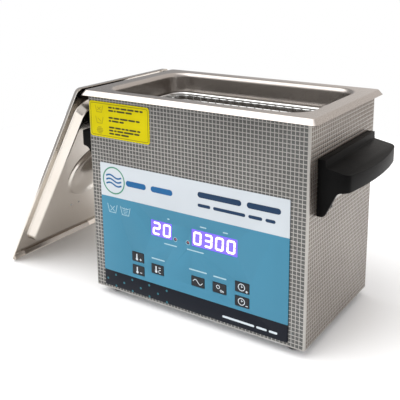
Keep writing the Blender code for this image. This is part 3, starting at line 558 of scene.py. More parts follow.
def rear_limits(node, margin):
    x, _, z = spans(node)
    return (grown((-x[1], -x[0]), margin), grown(z, margin))


def embossing():
    """The cushions run a little way under whatever lies on the sheet, and stop short of its openings."""
    front = [front_limits(node, -LAPPED) for node in ("control_overlay", "caution_label")]
    rear = [rear_limits(node, FLANGE_CLEAR) for node in ("power_inlet", "switch_housing", "fuse_holder")]
    rear.append(rear_limits("fan_frame", STUD_BASE))
    rear.append((grown(RATING_X, -LAPPED), grown(RATING_Z, -LAPPED)))
    _, handle_y, handle_z = spans("handle_right")
    side = [(grown(handle_y, -LAPPED), grown(handle_z, -LAPPED))]
    # The front and rear cushions are painted darker than the sheet: painted shade.
    studs("front", SIDE - PLAIN_EDGE, front, "stud_steel")
    studs("rear", SIDE - PLAIN_EDGE, rear, "stud_steel")
    # The side cushions use the lighter copy of the cushion steel: painted light by face, still darker than
    # the sheet as painted shade.
    studs("right", REAR - PLAIN_EDGE, side, "side_stud_steel")
    studs("left", REAR - PLAIN_EDGE, side, "side_stud_steel")


# ---------------------------------------------------------------- tank and rim

TANK_HALF = (120.0, 67.5)
TANK_CORNER = 22.0
TANK_FLOOR = 144.0
TANK_FILLET = 6.0
MOUTH_RADIUS = 5.0
RIM_TOP = 244.0
RIM_FLAT_HALF = (139.1, 82.8)
LIP_HALF = (143.0, 87.0)
LIP_DROP = 5.5


def tank():
    rings = [ring(LIP_HALF, 5.0, RIM_TOP - LIP_DROP)]
    crease = 1.0
    slope_x = (LIP_HALF[0] - RIM_FLAT_HALF[0]) / LIP_DROP
    slope_y = (LIP_HALF[1] - RIM_FLAT_HALF[1]) / LIP_DROP
    low = (RIM_FLAT_HALF[0] + crease * slope_x, RIM_FLAT_HALF[1] + crease * slope_y)
    rings.append(ring(low, 4.0, RIM_TOP - crease))
    rings.append(ring(inset(low, 0.5), 3.8, RIM_TOP - 0.3))
    for by in (0.8, 1.6):
        rings.append(ring(inset(RIM_FLAT_HALF, by), 3.5, RIM_TOP))
    spread = MOUTH_RADIUS + 0.8
    rings.append(ring(inset(TANK_HALF, -spread), TANK_CORNER + spread, RIM_TOP))
    for angle in range(0, 91, 10):
        turn = math.radians(angle)
        spread = MOUTH_RADIUS * (1 - math.sin(turn))
        half = inset(TANK_HALF, -spread)
        rings.append(ring(half, TANK_CORNER + spread, RIM_TOP - MOUTH_RADIUS * (1 - math.cos(turn))))
    rings.append(ring(TANK_HALF, TANK_CORNER, RIM_TOP - MOUTH_RADIUS - 1.0))
    for angle in range(0, 91, 10):
        turn = math.radians(angle)
        by = 1.0 + TANK_FILLET * (1 - math.cos(turn))
        half = inset(TANK_HALF, by)
        rings.append(ring(half, TANK_CORNER - by, TANK_FLOOR + TANK_FILLET * (1 - math.sin(turn))))
    obj = mesh_object("tank_and_rim", lambda work: loft(work, rings))
    smooth(thickened(obj, SHEET), 50)
    dress(obj, "tank_steel", "cleaner", replaced=["tank"])


# ---------------------------------------------------------------- basket

BASKET_RIM_HALF = (115.5, 61.0)
BASKET_TOP = 221.0
BASKET_BAND = 6.0
BASKET_BASE_HALF = (107.5, 53.5)
BASKET_FLOOR = 150.0
MESH_PITCH = 5.5
MESH_WIRE = 0.6
WIRE_SIDES = 5
WEAVE_WAVE = 0.55
BASKET_WALL_TOP_HALF = (113.0, 58.5)
BASKET_BASE_CORNER = 12.0
BASKET_RIM_CORNER = 18.0
BASKET_FLOOR_CORNER = 11.0
BASKET_FOOT_X = 80.0
BASKET_FOOT_Y = 35.0
BAND_WIDTH = 3.4
BAIL_PIVOT = (104.5, 217.0)
BAIL_HALF_WIDTH = 43.0
BAIL_DROP = 52.0
BAIL_WIRE = 1.6
BAIL_BEND = 6.0
LUG_MIDDLE = 38.0


def along_ring(half, radius, share):
    """The point at a share of the way round a rectangle with round corners, with the way out there."""
    straight = (2 * (half[0] - radius), 2 * (half[1] - radius))
    quarter = math.pi / 2 * radius
    lengths = [straight[1], quarter, straight[0], quarter] * 2
    left = (share % 1.0) * sum(lengths)
    corners = ((1, 1), (-1, 1), (-1, -1), (1, -1))
    for index, length in enumerate(lengths):
        if left > length:
            left -= length
            continue
        step = index // 2
        sign = corners[step]
        centre = Vector((sign[0] * (half[0] - radius), sign[1] * (half[1] - radius)))
        if index % 2:
            angle = math.radians(90) * step + left / radius
            out = Vector((math.cos(angle), math.sin(angle)))
            return centre + out * radius, out
        angle = math.radians(90) * step
        out = Vector((math.cos(angle), math.sin(angle)))
        onward = Vector((-out.y, out.x))
        return centre + out * radius + onward * (left - length), out
    return centre + out * radius, out


def basket_wall_point(share, height, bulge):
    """A point on the basket's side at a share of the way round and up, moved out by bulge."""
    half = [low + (high - low) * height for low, high in zip(BASKET_BASE_HALF, BASKET_WALL_TOP_HALF)]
    radius = BASKET_BASE_CORNER + 4.0 * height
    point, out = along_ring(half, radius, share)
    point = point + out * (bulge - 0.75)
    z = BASKET_FLOOR + 1.0 + height * (BASKET_TOP - 4.5 - BASKET_FLOOR)
    return (point.x, point.y, z)


def weave(column, row):
    """1 where the upright wire passes outside the level one, and -1 where it passes inside."""
    return 1 if (column + row) % 2 == 0 else -1


def basket():
    around_count = 2 * round((2 * 110 + 2 * 56) / MESH_PITCH)
    up_count = round((BASKET_TOP - BASKET_BAND - BASKET_FLOOR) / MESH_PITCH)

    def mesh(work):
        for column in range(around_count):
            share = column / around_count
            points = [
                basket_wall_point(share, row / up_count, WEAVE_WAVE * weave(column, row))
                for row in range(up_count + 1)
            ]
            tube(work, points, MESH_WIRE, WIRE_SIDES)
        for row in range(1, up_count + 1):
            height = row / up_count
            points = [
                basket_wall_point(column / around_count, height, -WEAVE_WAVE * weave(column, row))
                for column in range(around_count)
            ]
            tube(work, points, MESH_WIRE, WIRE_SIDES, closed=True)
        half = inset(BASKET_BASE_HALF, 1.0)
        columns = int(2 * half[0] / MESH_PITCH)
        rows = int(2 * half[1] / MESH_PITCH)
        for column in range(columns + 1):
            x = (column - columns / 2) * MESH_PITCH
            reach = half[1] - corner_cut(abs(x), half[0], BASKET_FLOOR_CORNER)
            points = floor_line(reach, rows, WEAVE_WAVE * weave(column, 1))
            tube(work, [(x, y, z) for y, z in points], MESH_WIRE, WIRE_SIDES)
        for row in range(rows + 1):
            y = (row - rows / 2) * MESH_PITCH
            reach = half[0] - corner_cut(abs(y), half[1], BASKET_FLOOR_CORNER)
            points = floor_line(reach, columns, -WEAVE_WAVE * weave(row, 1))
            tube(work, [(x, y, z) for x, z in points], MESH_WIRE, WIRE_SIDES)
        edge = [(x, y, BASKET_FLOOR + 1.2) for x, y in rounded_outline((106.8, 52.8), 11.5, 8)]
        tube(work, edge, 1.1, 8, closed=True)
        for x in (-BASKET_FOOT_X, BASKET_FOOT_X):
            for y in (-BASKET_FOOT_Y, BASKET_FOOT_Y):
                foot = [(x - 6, y, BASKET_FLOOR + 0.8), (x - 4.5, y, BASKET_FLOOR - 3.0)]
                foot += [(x - 3.0, y, TANK_FLOOR + 1.9), (x + 3.0, y, TANK_FLOOR + 1.9)]
                foot += [(x + 4.5, y, BASKET_FLOOR - 3.0), (x + 6, y, BASKET_FLOOR + 0.8)]
                tube(work, foot, 1.3, 8)

    obj = mesh_object("basket_mesh", mesh)
    smooth(obj, 60)
    dress(obj, "basket_wire", "basket", replaced=["basket"])
    band()


def corner_cut(place, half, radius):
    """How much shorter a line is where it meets a round corner."""
    into = place - (half - radius)
    return radius - math.sqrt(max(radius**2 - into**2, 0.0)) if into > 0 else 0.0


def floor_line(reach, count, wave):
    level = BASKET_FLOOR + 1.2
    steps = [(index - count / 2) * MESH_PITCH for index in range(count + 1)]
    inner = [(place, level + wave * weave(index, 0)) for index, place in enumerate(steps)]
    kept = [(place, height) for place, height in inner if abs(place) < reach - 1.0]
    return [(-reach, level), *kept, (reach, level)]


def band():
    """The folded strip that holds the basket's mesh, its spot welds, and the lugs of its handles."""
    low = BASKET_TOP - BASKET_BAND
    outer = BASKET_RIM_HALF
    inner = inset(outer, BAND_WIDTH)
    fold = BAND_WIDTH / 2

    def shape(work):
        profile = [(0.0, low), (0.0, BASKET_TOP - fold)]
        profile += [(fold - x, BASKET_TOP - fold + z) for x, z in arc((0, 0), fold, 20, 160, 6)]
        profile += [(BAND_WIDTH, BASKET_TOP - fold), (BAND_WIDTH, low), (2.6, low), (2.6, BASKET_TOP - 2.2)]
        profile += [(0.8, BASKET_TOP - 2.2), (0.8, low)]
        rings = [ring(inset(outer, depth), BASKET_RIM_CORNER - depth, z) for depth, z in profile]
        loft(work, rings, joined=True)
        count = round(4 * (inner[0] + inner[1]) / 11.0)
        for index in range(count):
            point, _ = along_ring(outer, BASKET_RIM_CORNER, index / count)
            bead = Matrix.Translation((point.x, point.y, low + 2.4)) @ Matrix.Diagonal((1, 1, 0.8, 1))
            bmesh.ops.create_icosphere(work, subdivisions=2, radius=0.65, matrix=bead)

    obj = mesh_object("basket_rim_band", shape)
    smooth(obj, 60)
    dress(obj, "basket_wire", "basket")

    def lugs(work):
        for side in (-1, 1):
            for end in (-1, 1):
                for offset in (-1.5, 1.5):
                    y = around(end * LUG_MIDDLE + offset, 0.9)
                    x = tuple(sorted((side * (BAIL_PIVOT[0] - 3.2), side * (inner[0] + 0.4))))
                    block(work, x, y, (BAIL_PIVOT[1] - 3.6, BAIL_PIVOT[1] + 3.4))

    obj = rounding(mesh_object("basket_lugs", lugs), 0.35, 2)
    dress(smooth(obj), "basket_wire", "basket")
    for name, side in (("basket_handle_left", -1), ("basket_handle_right", 1)):
        bail(name, side * BAIL_PIVOT[0])


def bail(name, x):
    """A wire handle that hangs from two lugs."""
    low = BAIL_PIVOT[1] - BAIL_DROP
    half = BAIL_HALF_WIDTH
    side = [(33.0, BAIL_PIVOT[1])]
    side += arc((half - 2.4, BAIL_PIVOT[1] - 2.4), 2.4, 90, 0, 6)
    side += arc((half - BAIL_BEND, low + BAIL_BEND), BAIL_BEND, 0, -90, 10)
    route = [(x, y, z) for y, z in side] + [(x, -y, z) for y, z in reversed(side)]
    obj = mesh_object(name + "_wire", lambda work: tube(work, route, BAIL_WIRE, 14))
    dress(smooth(obj), "basket_wire", name, replaced=[name])


# ---------------------------------------------------------------- lid

LID_HALF = (140.0, 86.0)
LID_LIP = (3.5, 6.0)
LID_PLUG_TOP = (115.0, 68.0)
LID_PLUG = (111.5, 65.0)
LID_PLUG_DEPTH = 11.5
LID_SHEET = 0.8
LID_LEAN = math.radians(60.5)
LID_FOOT_X = -293.5
LID_MIDDLE_Y = 3.0
LID_CLEARANCE = 0.05
DISH_RING = 42.5
DISH_BOWL = 35.0
DISH_STEP = 3.0
DISH_DEPTH = 8.0
VENTS = ((-61.0, -15.8), (-61.0, -1.3))
VENT_RADIUS = 1.5
# Dark rubber-black discs sunk in the vent holes: painted shade of the holes.
VENT_SHADE_DISC = (-LID_PLUG_DEPTH + 0.4, 1.48, 0.5)
HEM_SECTION = ((1.0, -5.9), (1.9, -5.9), (4.5, -1.6), (3.4, -1.6))
HEM_SHORT_OF_CORNER = 24.0


def lid_space():
    sine, cosine = math.sin(LID_LEAN), math.cos(LID_LEAN)
    along = LID_HALF[0] + (LID_LIP[1] + LID_CLEARANCE) * cosine / sine
    place = Matrix.Translation((LID_FOOT_X + along * cosine, LID_MIDDLE_Y, along * sine))
    return MACHINE @ place @ Matrix.Rotation(-LID_LEAN, 4, "Y")


def lid():
    lip_in, lip_drop = LID_LIP
    flange = inset(LID_HALF, lip_in)
    deep = -LID_PLUG_DEPTH
    sections = (
        (LID_HALF, 0.0, 8.0, -lip_drop),
        (LID_HALF, 0.7, 7.4, -lip_drop * 0.8),
        (flange, -0.5, 5.4, -0.9),
        (flange, 0.3, 5.0, -0.2),
        (flange, 1.2, 4.5, 0.0),
        (flange, 1.9, 4.5, 0.0),
        (LID_PLUG_TOP, -2.6, 20.6, 0.0),
        (LID_PLUG_TOP, -1.8, 19.8, 0.0),
        (LID_PLUG_TOP, -0.7, 18.7, -0.4),
        (LID_PLUG_TOP, 0.0, 18.0, -1.5),
        (LID_PLUG, 0.0, 15.0, deep + 1.5),
        (LID_PLUG, 0.5, 14.5, deep + 0.5),
        (LID_PLUG, 1.6, 13.4, deep),
        (LID_PLUG, 2.4, 12.6, deep),
    )
    rings = [ring(inset(half, by), corner, height) for half, by, corner, height in sections]
    rings += [
        round_ring(DISH_RING + 1.8, deep),
        round_ring(DISH_RING + 1.0, deep),
        round_ring(DISH_RING, deep - 0.5),
        round_ring(DISH_RING - 1.1, deep - DISH_STEP + 0.5),
        round_ring(DISH_RING - 2.0, deep - DISH_STEP),
        round_ring(DISH_BOWL + 1.0, deep - DISH_STEP),
    ]
    for step in range(1, 12):
        share = step / 12
        depth = DISH_DEPTH * (1 - (1 - share) ** 2)
        rings.append(round_ring(DISH_BOWL * (1 - share), deep - DISH_STEP - depth))
    obj = mesh_object("lid_pressing", lambda work: loft(work, rings), lid_space())
    thickened(obj, LID_SHEET)
    through = (deep, VENT_RADIUS, 8)
    cutter = mesh_object("vent_cutter", lambda work: vent_cylinders(work, *through), lid_space())
    boolean(obj, cutter)
    smooth(obj, 50)
    dress(obj, "polished_steel", "lid", replaced=["lid_shell"])
    hems()
    vent_shade_discs()
    lift_bar()


def hems():
    """The edge of the sheet folded back inside each side of the lid, short of the corners."""

    def build(work):
        for side in range(4):
            reach = LID_HALF[1] if side % 2 else LID_HALF[0]
            half = (LID_HALF[0] if side % 2 else LID_HALF[1]) - HEM_SHORT_OF_CORNER
            turn = Matrix.Rotation(math.radians(90 * side), 4, "Z")
            rows = []
            for along in (-half, half):
                rows.append([work.verts.new(turn @ Vector((reach - a, along, z))) for a, z in HEM_SECTION])
            skin(work, rows)
        bmesh.ops.recalc_face_normals(work, faces=work.faces)

    obj = mesh_object("lid_hems", build, lid_space())
    smooth(rounding(obj, 0.3, 3, 30), 40)
    # The hems take the darker, warmer tank steel rather than the lid's polished steel: painted shade along
    # the folded edge.
    dress(obj, "tank_steel", "lid")


def vent_cylinders(work, height, radius, depth):
    """An upright cylinder in each vent of the lid."""
    for place in VENTS:
        spot = Matrix.Translation((*place, height))
        sizes = {"radius1": radius, "radius2": radius, "depth": depth}
        bmesh.ops.create_cone(work, cap_ends=True, segments=20, matrix=spot, **sizes)


# Dark discs inside the vents stand for the shade in the holes: painted shade.
def vent_shade_discs():
    obj = mesh_object("lid_vent_shade_discs", lambda work: vent_cylinders(work, *VENT_SHADE_DISC), lid_space())
    dress(obj, "foot_rubber", "lid")


def lift_bar():
    """The strap bridging the dish on the lid's upper side, its two flat ends seated where it is
    spot-welded.
    """
    seat = -LID_PLUG_DEPTH - DISH_STEP + GAP
    crest = -4.0
    half = DISH_RING - 2.5
    sheet = 2.0
    middle_line = [(-half, seat), (-half + 5.5, seat), (-half + 7.4, seat + 0.8)]
    middle_line += [(-half + 11.0, crest - sheet - 0.9), (-half + 13.2, crest - sheet)]
    lower = middle_line + [(-x, z) for x, z in reversed(middle_line)]

    def build(work):
        rows = []
        for x, z in lower:
            ends = [(8.0, z), (-8.0, z), (-8.0, z + sheet), (8.0, z + sheet)]
            rows.append([work.verts.new((across, x, height)) for across, height in ends])
        skin(work, rows)

    obj = mesh_object("lid_lift_bar", build, lid_space())
    smooth(rounding(obj, 0.5, 3, 60), 40)
    dress(obj, "polished_steel", "lid", replaced=["lid_handle"])


# ---------------------------------------------------------------- side handles

HANDLE_HALF = 64.5
HANDLE_BOTTOM = 145.0
HANDLE_TOP = 201.5
HANDLE_REACH = 172.5
HANDLE_BOW = 7.0
HANDLE_CORNER = 7.0
HANDLE_WALL = 4.0
HANDLE_FOOT_RADIUS = 5.0
RIDGE_THICKNESS = 8.0
SHELF_INNER_TOP = 194.0
SHELF_OUTER_TOP = 188.0
SHELF_EDGE = 174.0
UNDERCUT_MIDDLE = (160.5, 164.0)
UNDERCUT_RADIUS = 8.0
BOSS_Y = (50.5, 62.5)
BOSS_Z = (152.0, 164.0)
# How far the solids that shape a handle reach, all of them past its surface.
GRIP_SPAN = (130.0, 230.0)
SECTION_SPAN = (-80.0, 80.0)
POCKET_FOOT = 100.0
HALF_TURN = Matrix.Translation(MIDDLE) @ Matrix.Rotation(math.pi, 4, "Z") @ Matrix.Translation(-MIDDLE)


def prism(name, outline, span, turn=None):
    """An outline extruded along z, or turned so that its y is up and it runs along y."""

    def build(work):
        skin(work, [[work.verts.new((x, y, height)) for x, y in outline] for height in span])
        if turn:
            bmesh.ops.transform(work, matrix=turn, verts=work.verts)

    return mesh_object(name, build)


def handle_plan(by, back):
    """The handle from above, moved in by so much: a bowed outer edge whose round corners run into it."""
    half = HANDLE_HALF - by
    corner = HANDLE_CORNER - by / 2
    radius = (half**2 + HANDLE_BOW**2) / (2 * HANDLE_BOW)
    middle = HANDLE_REACH - by - radius
    sweep = math.asin((half - corner) / (radius - corner))
    turn_x = middle + (radius - corner) * math.cos(sweep)
    turn_y = half - corner
    angle = math.degrees(sweep)
    outline = [(back, -half)]
    outline += arc((turn_x, -turn_y), corner, -90, -angle, 10)
    outline += arc((middle, 0), radius, -angle, angle, 28)[1:-1]
    outline += arc((turn_x, turn_y), corner, angle, 90, 10)
    return [*outline, (back, half)]


def handle_profile():
    """The handle from the front: foot, hollow sweep up to the lip, sloping shelf, and ridge at the wall."""
    base = SIDE + GAP
    outside = HANDLE_REACH + 2.0
    foot_middle = (base + 4.0, HANDLE_BOTTOM + HANDLE_FOOT_RADIUS)
    outline = [(base, HANDLE_BOTTOM)]
    outline += arc(foot_middle, HANDLE_FOOT_RADIUS, -90, -25, 8)
    outline += arc(UNDERCUT_MIDDLE, UNDERCUT_RADIUS, 152, 90, 12)
    outline += [(outside, SHELF_EDGE), (outside, SHELF_OUTER_TOP)]
    outline += [(base + RIDGE_THICKNESS, SHELF_INNER_TOP), (base + RIDGE_THICKNESS - 0.6, HANDLE_TOP)]
    return [*outline, (base, HANDLE_TOP)]


def side_handle(name, side):
    """A hooded grip, open below and towards the wall, with a screw boss in each end."""
    base = SIDE + GAP
    upright = Matrix.Rotation(math.radians(90), 4, "X")
    grip = prism(name + "_grip", handle_plan(0.0, base), GRIP_SPAN)
    section = prism("section", handle_profile(), SECTION_SPAN, upright)
    boolean(grip, section, "INTERSECT")
    pocket_span = (POCKET_FOOT, SHELF_OUTER_TOP - HANDLE_WALL)
    pocket = prism("pocket", handle_plan(HANDLE_WALL, base - 5.0), pocket_span)
    boolean(grip, pocket)

    def bosses(work):
        for end in (-1, 1):
            block(work, (base, base + 10.0), tuple(sorted((end * BOSS_Y[0], end * BOSS_Y[1]))), BOSS_Z)

    boolean(grip, mesh_object("bosses", bosses), "UNION")
    if side < 0:
        grip.data.transform(HALF_TURN)
    smooth(rounding(grip, 0.9, 3, 40), 35)
    dress(grip, "black_plastic", "cleaner", replaced=[name])


# ---------------------------------------------------------------- control panel

KEYS = ("temperature_up", "temperature_down", "heating", "ultrasonic", "degas", "time_up", "time_down")
DISPLAYS = {"temperature_display": "20", "timer_display": "0300"}
LAMPS = ("heating_lamp", "ultrasonic_lamp")
FILM_BACK = GAP
FILM_FACE = 1.1
INK = 0.06
# The small captions beside keys and displays, as (left end, foot, height, length).
KEY_CAPTIONS = (
    (-27.5, 113.9, 1.3, 3.0),
    (14.5, 113.9, 1.3, 8.0),
    (42.5, 113.9, 1.3, 6.0),
    (-32.5, 84.6, 1.3, 17.0),
    (-2.5, 85.2, 1.3, 21.5),
    (-50.5, 63.4, 1.5, 18.0),
    (0.0, 63.2, 1.5, 22.5),
    (30.5, 62.8, 1.5, 16.0),
)


def control_film():
    x, _, z = spans("control_overlay")
    film = mesh_object("control_film", lambda work: bar(work, "front", x, z, (FILM_BACK, FILM_FACE), 1.2))

    def windows(work):
        deep = (-4.0, 5.0)
        for name in KEYS:
            key_x, _, key_z = spans("key_" + name)
            bar(work, "front", grown(key_x, 0.4), grown(key_z, 0.4), deep, 1.0)
        for name in DISPLAYS:
            window_x, _, window_z = spans(name)
            bar(work, "front", grown(window_x, GAP), grown(window_z, GAP), deep, 0.6)
        for name in LAMPS:
            lamp_x, _, lamp_z = spans(name)
            disc(work, "front", middle_of(lamp_x, lamp_z), 1.9, deep)

    boolean(film, mesh_object("window_cutter", windows))
    smooth(rounding(film, 0.15, 2), 30)
    dress(film, "overlay_film", "cleaner", replaced=["control_overlay"])


def film_prints():
    out = (FILM_FACE - 0.1, FILM_FACE + INK)

    def white(work):
        print_words(work, "front", (41.5, 19.6), 2.4, (38.0, 12.0, 9.5), out)

    def pale(work):
        for x, crossed in ((-104.6, True), (-85.8, False)):
            basin(work, x, 111.0, crossed, out)
        for x, z, height, length in KEY_CAPTIONS:
            print_words(work, "front", (x, z), height, (length,), out)
        for name in LAMPS:
            x, _, z = spans(name)
            circle(work, "front", middle_of(x, z), 2.3, 0.5, out)

    def navy(work):
        print_words(work, "front", (12.0, 146.6), 6.2, (52.0, 37.5), out)
        print_words(work, "front", (12.0, 136.4), 3.5, (15.5, 37.5, 15.5, 11.0), out)

    def teal(work):
        for row, z in enumerate((29.4, 22.4, 15.6)):
            first = -104.0 if row % 2 == 0 else -116.3
            for column in range(4):
                disc(work, "front", (first + 24.4 * column, z), 1.35, out, 16)

    def emblem(work):
        for level in range(3):
            wave = [
                (x, 144.5 + 4.6 * (level - 1) + 1.7 * math.sin((x + 112.0) / 22.0 * 2 * math.pi))
                for x in [-112.0 + 1.1 * step for step in range(21)]
            ]
            stroke(work, "front", wave, 1.9, out)
        print_words(work, "front", (-83.5, 141.2), 6.6, (28.0, 29.0), out)

    def emblem_ring(work):
        circle(work, "front", (-101.0, 144.5), 15.2, 1.6, out, 64)

    for name, build, paint in (
        ("film_print_white", white, "white_ink"),
        ("film_print_pale", pale, "pale_ink"),
        ("film_print_navy", navy, "navy_ink"),
        ("film_print_teal", teal, "teal_ink"),
        ("film_emblem", emblem, "emblem_ink"),
        ("film_emblem_ring", emblem_ring, "emblem_green"),
    ):
        dress(mesh_object(name, build), paint, "cleaner")


def basin(work, x, z, crossed, out):
    """A washing basin with a wavy water line, crossed out or with level lines inside."""
    sides = [(x - 7.0, z + 5.0), (x - 4.6, z - 4.6), (x + 4.6, z - 4.6), (x + 7.0, z + 5.0)]
    stroke(work, "front", sides, 0.75, out)
    if crossed:
        for sign in (-1, 1):
            stroke(work, "front", [(x - 3.2, z + 3.2 * sign), (x + 3.2, z - 3.2 * sign)], 0.75, out)
        return
    for level in range(4):
        reach = 4.0 - 0.5 * level
        height = z + 2.6 - 1.8 * level
        stroke(work, "front", [(x - reach, height), (x + reach, height)], 0.5, out)
    water = [(x - 5.4 + 0.6 * step, z + 3.3 + 0.5 * math.sin(step * 1.2)) for step in range(19)]
    stroke(work, "front", water, 0.5, out)


def key_symbols():
    face = -(spans("key_heating")[1][0] + REAR)
    out = (face - 0.1, face + INK)
    for name in KEYS:
        x, _, z = spans("key_" + name)
        place = middle_of(x, z)
        obj = mesh_object(f"symbol_{name}", lambda work: SYMBOLS[name](work, place, out))
        dress(obj, "white_ink", "key_" + name)


def sign(work, x, z, positive, out):
    stroke(work, "front", [(x - 1.4, z), (x + 1.4, z)], 0.8, out)
    if positive:
        stroke(work, "front", [(x, z + 0.4), (x, z + 1.4)], 0.8, out)
        stroke(work, "front", [(x, z - 0.4), (x, z - 1.4)], 0.8, out)


def thermometer(work, x, z, out):
    disc(work, "front", (x, z - 2.5), 1.6, out, 20)
    bar(work, "front", (x - 0.8, x + 0.8), (z - 2.0, z + 4.0), (out[0], out[1] + 0.01))


def temperature_symbol(positive):
    def build(work, place, out):
        thermometer(work, place[0] - 1.5, place[1], out)
        sign(work, place[0] + 3.8, place[1] - 2.4, positive, out)

    return build


def heating_symbol(work, place, out):
    x, z = place
    thermometer(work, x - 1.8, z, out)
    curl = arc((x + 3.6, z - 1.8), 1.9, 60, 300, 14)
    stroke(work, "front", curl, 0.7, out)
    stroke(work, "front", [(x + 1.6, z + 2.6), (x + 4.6, z + 2.6)], 0.7, out)


def ultrasonic_symbol(work, place, out):
    x, z = place
    wave = [
        (x - 6.0 + 0.5 * step, z + 2.5 * math.sin(2 * math.pi * step / 24)) for step in range(25)
    ]
    stroke(work, "front", wave, 0.75, out)


def degas_symbol(work, place, out):
    x, z = place
    circle(work, "front", (x - 1.6, z + 1.4), 1.9, 0.7, out)
    circle(work, "front", (x + 2.2, z - 2.4), 1.1, 0.6, out)
    circle(work, "front", (x + 4.6, z - 2.8), 0.8, 0.5, out, 20)


def clock_symbol(positive):
    def build(work, place, out):
        x, z = place[0] - 0.6, place[1] + 0.2
        circle(work, "front", (x, z), 3.7, 0.8, out, 40)
        stroke(work, "front", [(x, z + 2.4), (x, z), (x + 1.9, z + 1.0)], 0.6, out)
        sign(work, place[0] + 5.6, place[1] - 3.4, positive, out)

    return build


SYMBOLS = {
    "temperature_up": temperature_symbol(True),
    "temperature_down": temperature_symbol(False),
    "heating": heating_symbol,
    "ultrasonic": ultrasonic_symbol,
    "degas": degas_symbol,
    "time_up": clock_symbol(True),
    "time_down": clock_symbol(False),
}

# The lit strokes of a digit, a to g: top, upper right, lower right, bottom, lower left, upper left, middle.
LIT = {"0": "abcdef", "2": "abdeg", "3": "abcdg"}
DIGIT_WIDTH = 8.0
DIGIT_HEIGHT = 12.6
DIGIT_STROKE = 2.1
DIGIT_SLANT = 0.06
# What a display shows, as (piece, finish, extra stroke width, height above the lens).
DIGIT_PIECES = (("digits", "digit_light", 0.0, 0.09), ("halo", "digit_halo", 1.1, 0.03))


def digit(work, centre, text, width, out):
    x, z = centre
    half, tall = DIGIT_WIDTH / 2, DIGIT_HEIGHT / 2
    ends = {
        "a": ((-half, tall), (half, tall)),
        "b": ((half, tall), (half, 0)),
        "c": ((half, 0), (half, -tall)),
        "d": ((-half, -tall), (half, -tall)),
        "e": ((-half, -tall), (-half, 0)),
        "f": ((-half, 0), (-half, tall)),
        "g": ((-half, 0), (half, 0)),
    }
    for number, letter in enumerate(LIT[text]):
        (x0, z0), (x1, z1) = ends[letter]
        ahead = Vector((x1 - x0, z1 - z0)).normalized()
        first = Vector((x0, z0)) + ahead * 0.55
        last = Vector((x1, z1)) - ahead * 0.55
        tip = ahead * 0.3 * width
        side = Vector((-ahead.y, ahead.x)) * 0.45 * width
        outline = [first - tip, first + side, last + side, last + tip, last - side, first - side]
        points = [(x + p.x + DIGIT_SLANT * p.y, z + p.y) for p in outline]
        slab(work, "front", list(reversed(points)), (out[0], out[1] + 0.004 * number))


def display_digits():
    for name, text in DISPLAYS.items():
        x, y, z = spans(name)
        face = -(y[0] + REAR)
        places = {"20": (0.27, 0.77), "0300": (0.13, 0.375, 0.62, 0.87)}[text]
        centres = [(x[0] + share * (x[1] - x[0]), sum(z) / 2) for share in places]

        for piece, paint, spread, proud in DIGIT_PIECES:

            def build(work):
                for centre, figure in zip(centres, text):
                    digit(work, centre, figure, DIGIT_STROKE + spread, (face - 0.1, face + proud))

            dress(mesh_object(f"{name}_{piece}", build), paint, "cleaner")


CAUTION_WORDS_X = (-104.8, -52.0)
CAUTION_PICTURES_X = -118.2
# Each line of the label's wording as (foot, word lengths).
CAUTION_LINES = (
    (226.6, (6, 3.5, 7, 9.5, 10, 6.5, 5)),
    (223.1, (8, 3, 13, 10)),
    (215.2, (7, 9, 12, 10.5, 6)),
    (211.7, (4, 11, 7)),
    (204.4, (9, 9, 5, 5, 11, 5)),
    (200.9, (7, 4, 9.5, 15, 8)),
    (197.4, (8, 9, 12)),
)


def caution_label():
    x, _, z = spans("caution_label")
    face = 0.7
    out = (face - 0.1, face + INK)
    label = mesh_object("label_plate", lambda work: bar(work, "front", x, z, (GAP, face), 3.2))
    dress(smooth(label, 30), "label_film", "cleaner", replaced=["caution_label"])

    def ink(work):
        half = ((x[1] - x[0]) / 2 - 2.0, (z[1] - z[0]) / 2 - 2.0)
        border = rounded_outline(half, 2.2, 5, middle_of(x, z))
        stroke(work, "front", border, 0.45, out, closed=True)
        for height, words in CAUTION_LINES:
            start, end = CAUTION_WORDS_X
            for length in words:
                width = length * 0.9
                bar(work, "front", (start, min(start + width, end)), (height, height + 2.0), out)
                start += width + 0.9
                if start > end - 2.0:
                    break

    def shade(work):
        cx = CAUTION_PICTURES_X
        for cz in (225.0, 212.5):
            corners = ((-5.5, 3.5), (-3.6, -4.0), (3.6, -4.0), (5.5, 3.5))
            stroke(work, "front", [(cx + a, cz + b) for a, b in corners], 0.9, out)
            stroke(work, "front", [(cx - 2.6, cz + 1.6), (cx + 2.6, cz - 2.0)], 0.9, out)
        stroke(work, "front", [(-120.8, 223.0), (-115.6, 226.8)], 0.9, out)
        for level in range(5):
            reach = (2.6, 4.4, 4.9, 4.4, 2.6)[level]
            low = 196.6 + 1.7 * level
            bar(work, "front", (cx - reach, cx + reach), (low, low + 1.2), out)

    dress(mesh_object("label_ink", ink), "label_ink", "cleaner")
    dress(mesh_object("label_pictures", shade), "label_shade", "cleaner")


# ---------------------------------------------------------------- feet and rear fittings


def feet():
    profile = [(0.0, 10.0), (9.6, 10.0), (10.0, 9.6), (9.3, 1.6), (8.8, 0.5), (8.0, 0.0), (5.2, 0.0)]
    profile += [(4.8, 0.4), (4.8, 5.4), (0.0, 5.4)]
    for number in range(1, 5):
        name = f"foot_{number}"
        x, y, _ = spans(name)
        place = Matrix.Translation((sum(x) / 2, sum(y) / 2, 0))
        obj = mesh_object(name + "_rubber", lambda work: lathe(work, list(reversed(profile)), place))
        dress(smooth(obj, 30), "foot_rubber", "cleaner", replaced=[name])


INLET = (-92.0, 45.0)
INLET_PINS = ((0.0, 2.8), (-7.0, -1.8), (7.0, -1.8))
SWITCH = (-92.0, 92.0)
ROCKER_TILT = math.radians(7.0)
RATING_LINES = (
    (155.6, (26.0, 14.0)),
    (148.8, (14.0, 9.0, 18.0)),
    (143.4, (12.0, 20.0)),
    (138.0, (17.0, 8.0, 11.0)),
    (127.6, (30.0, 12.0)),
)


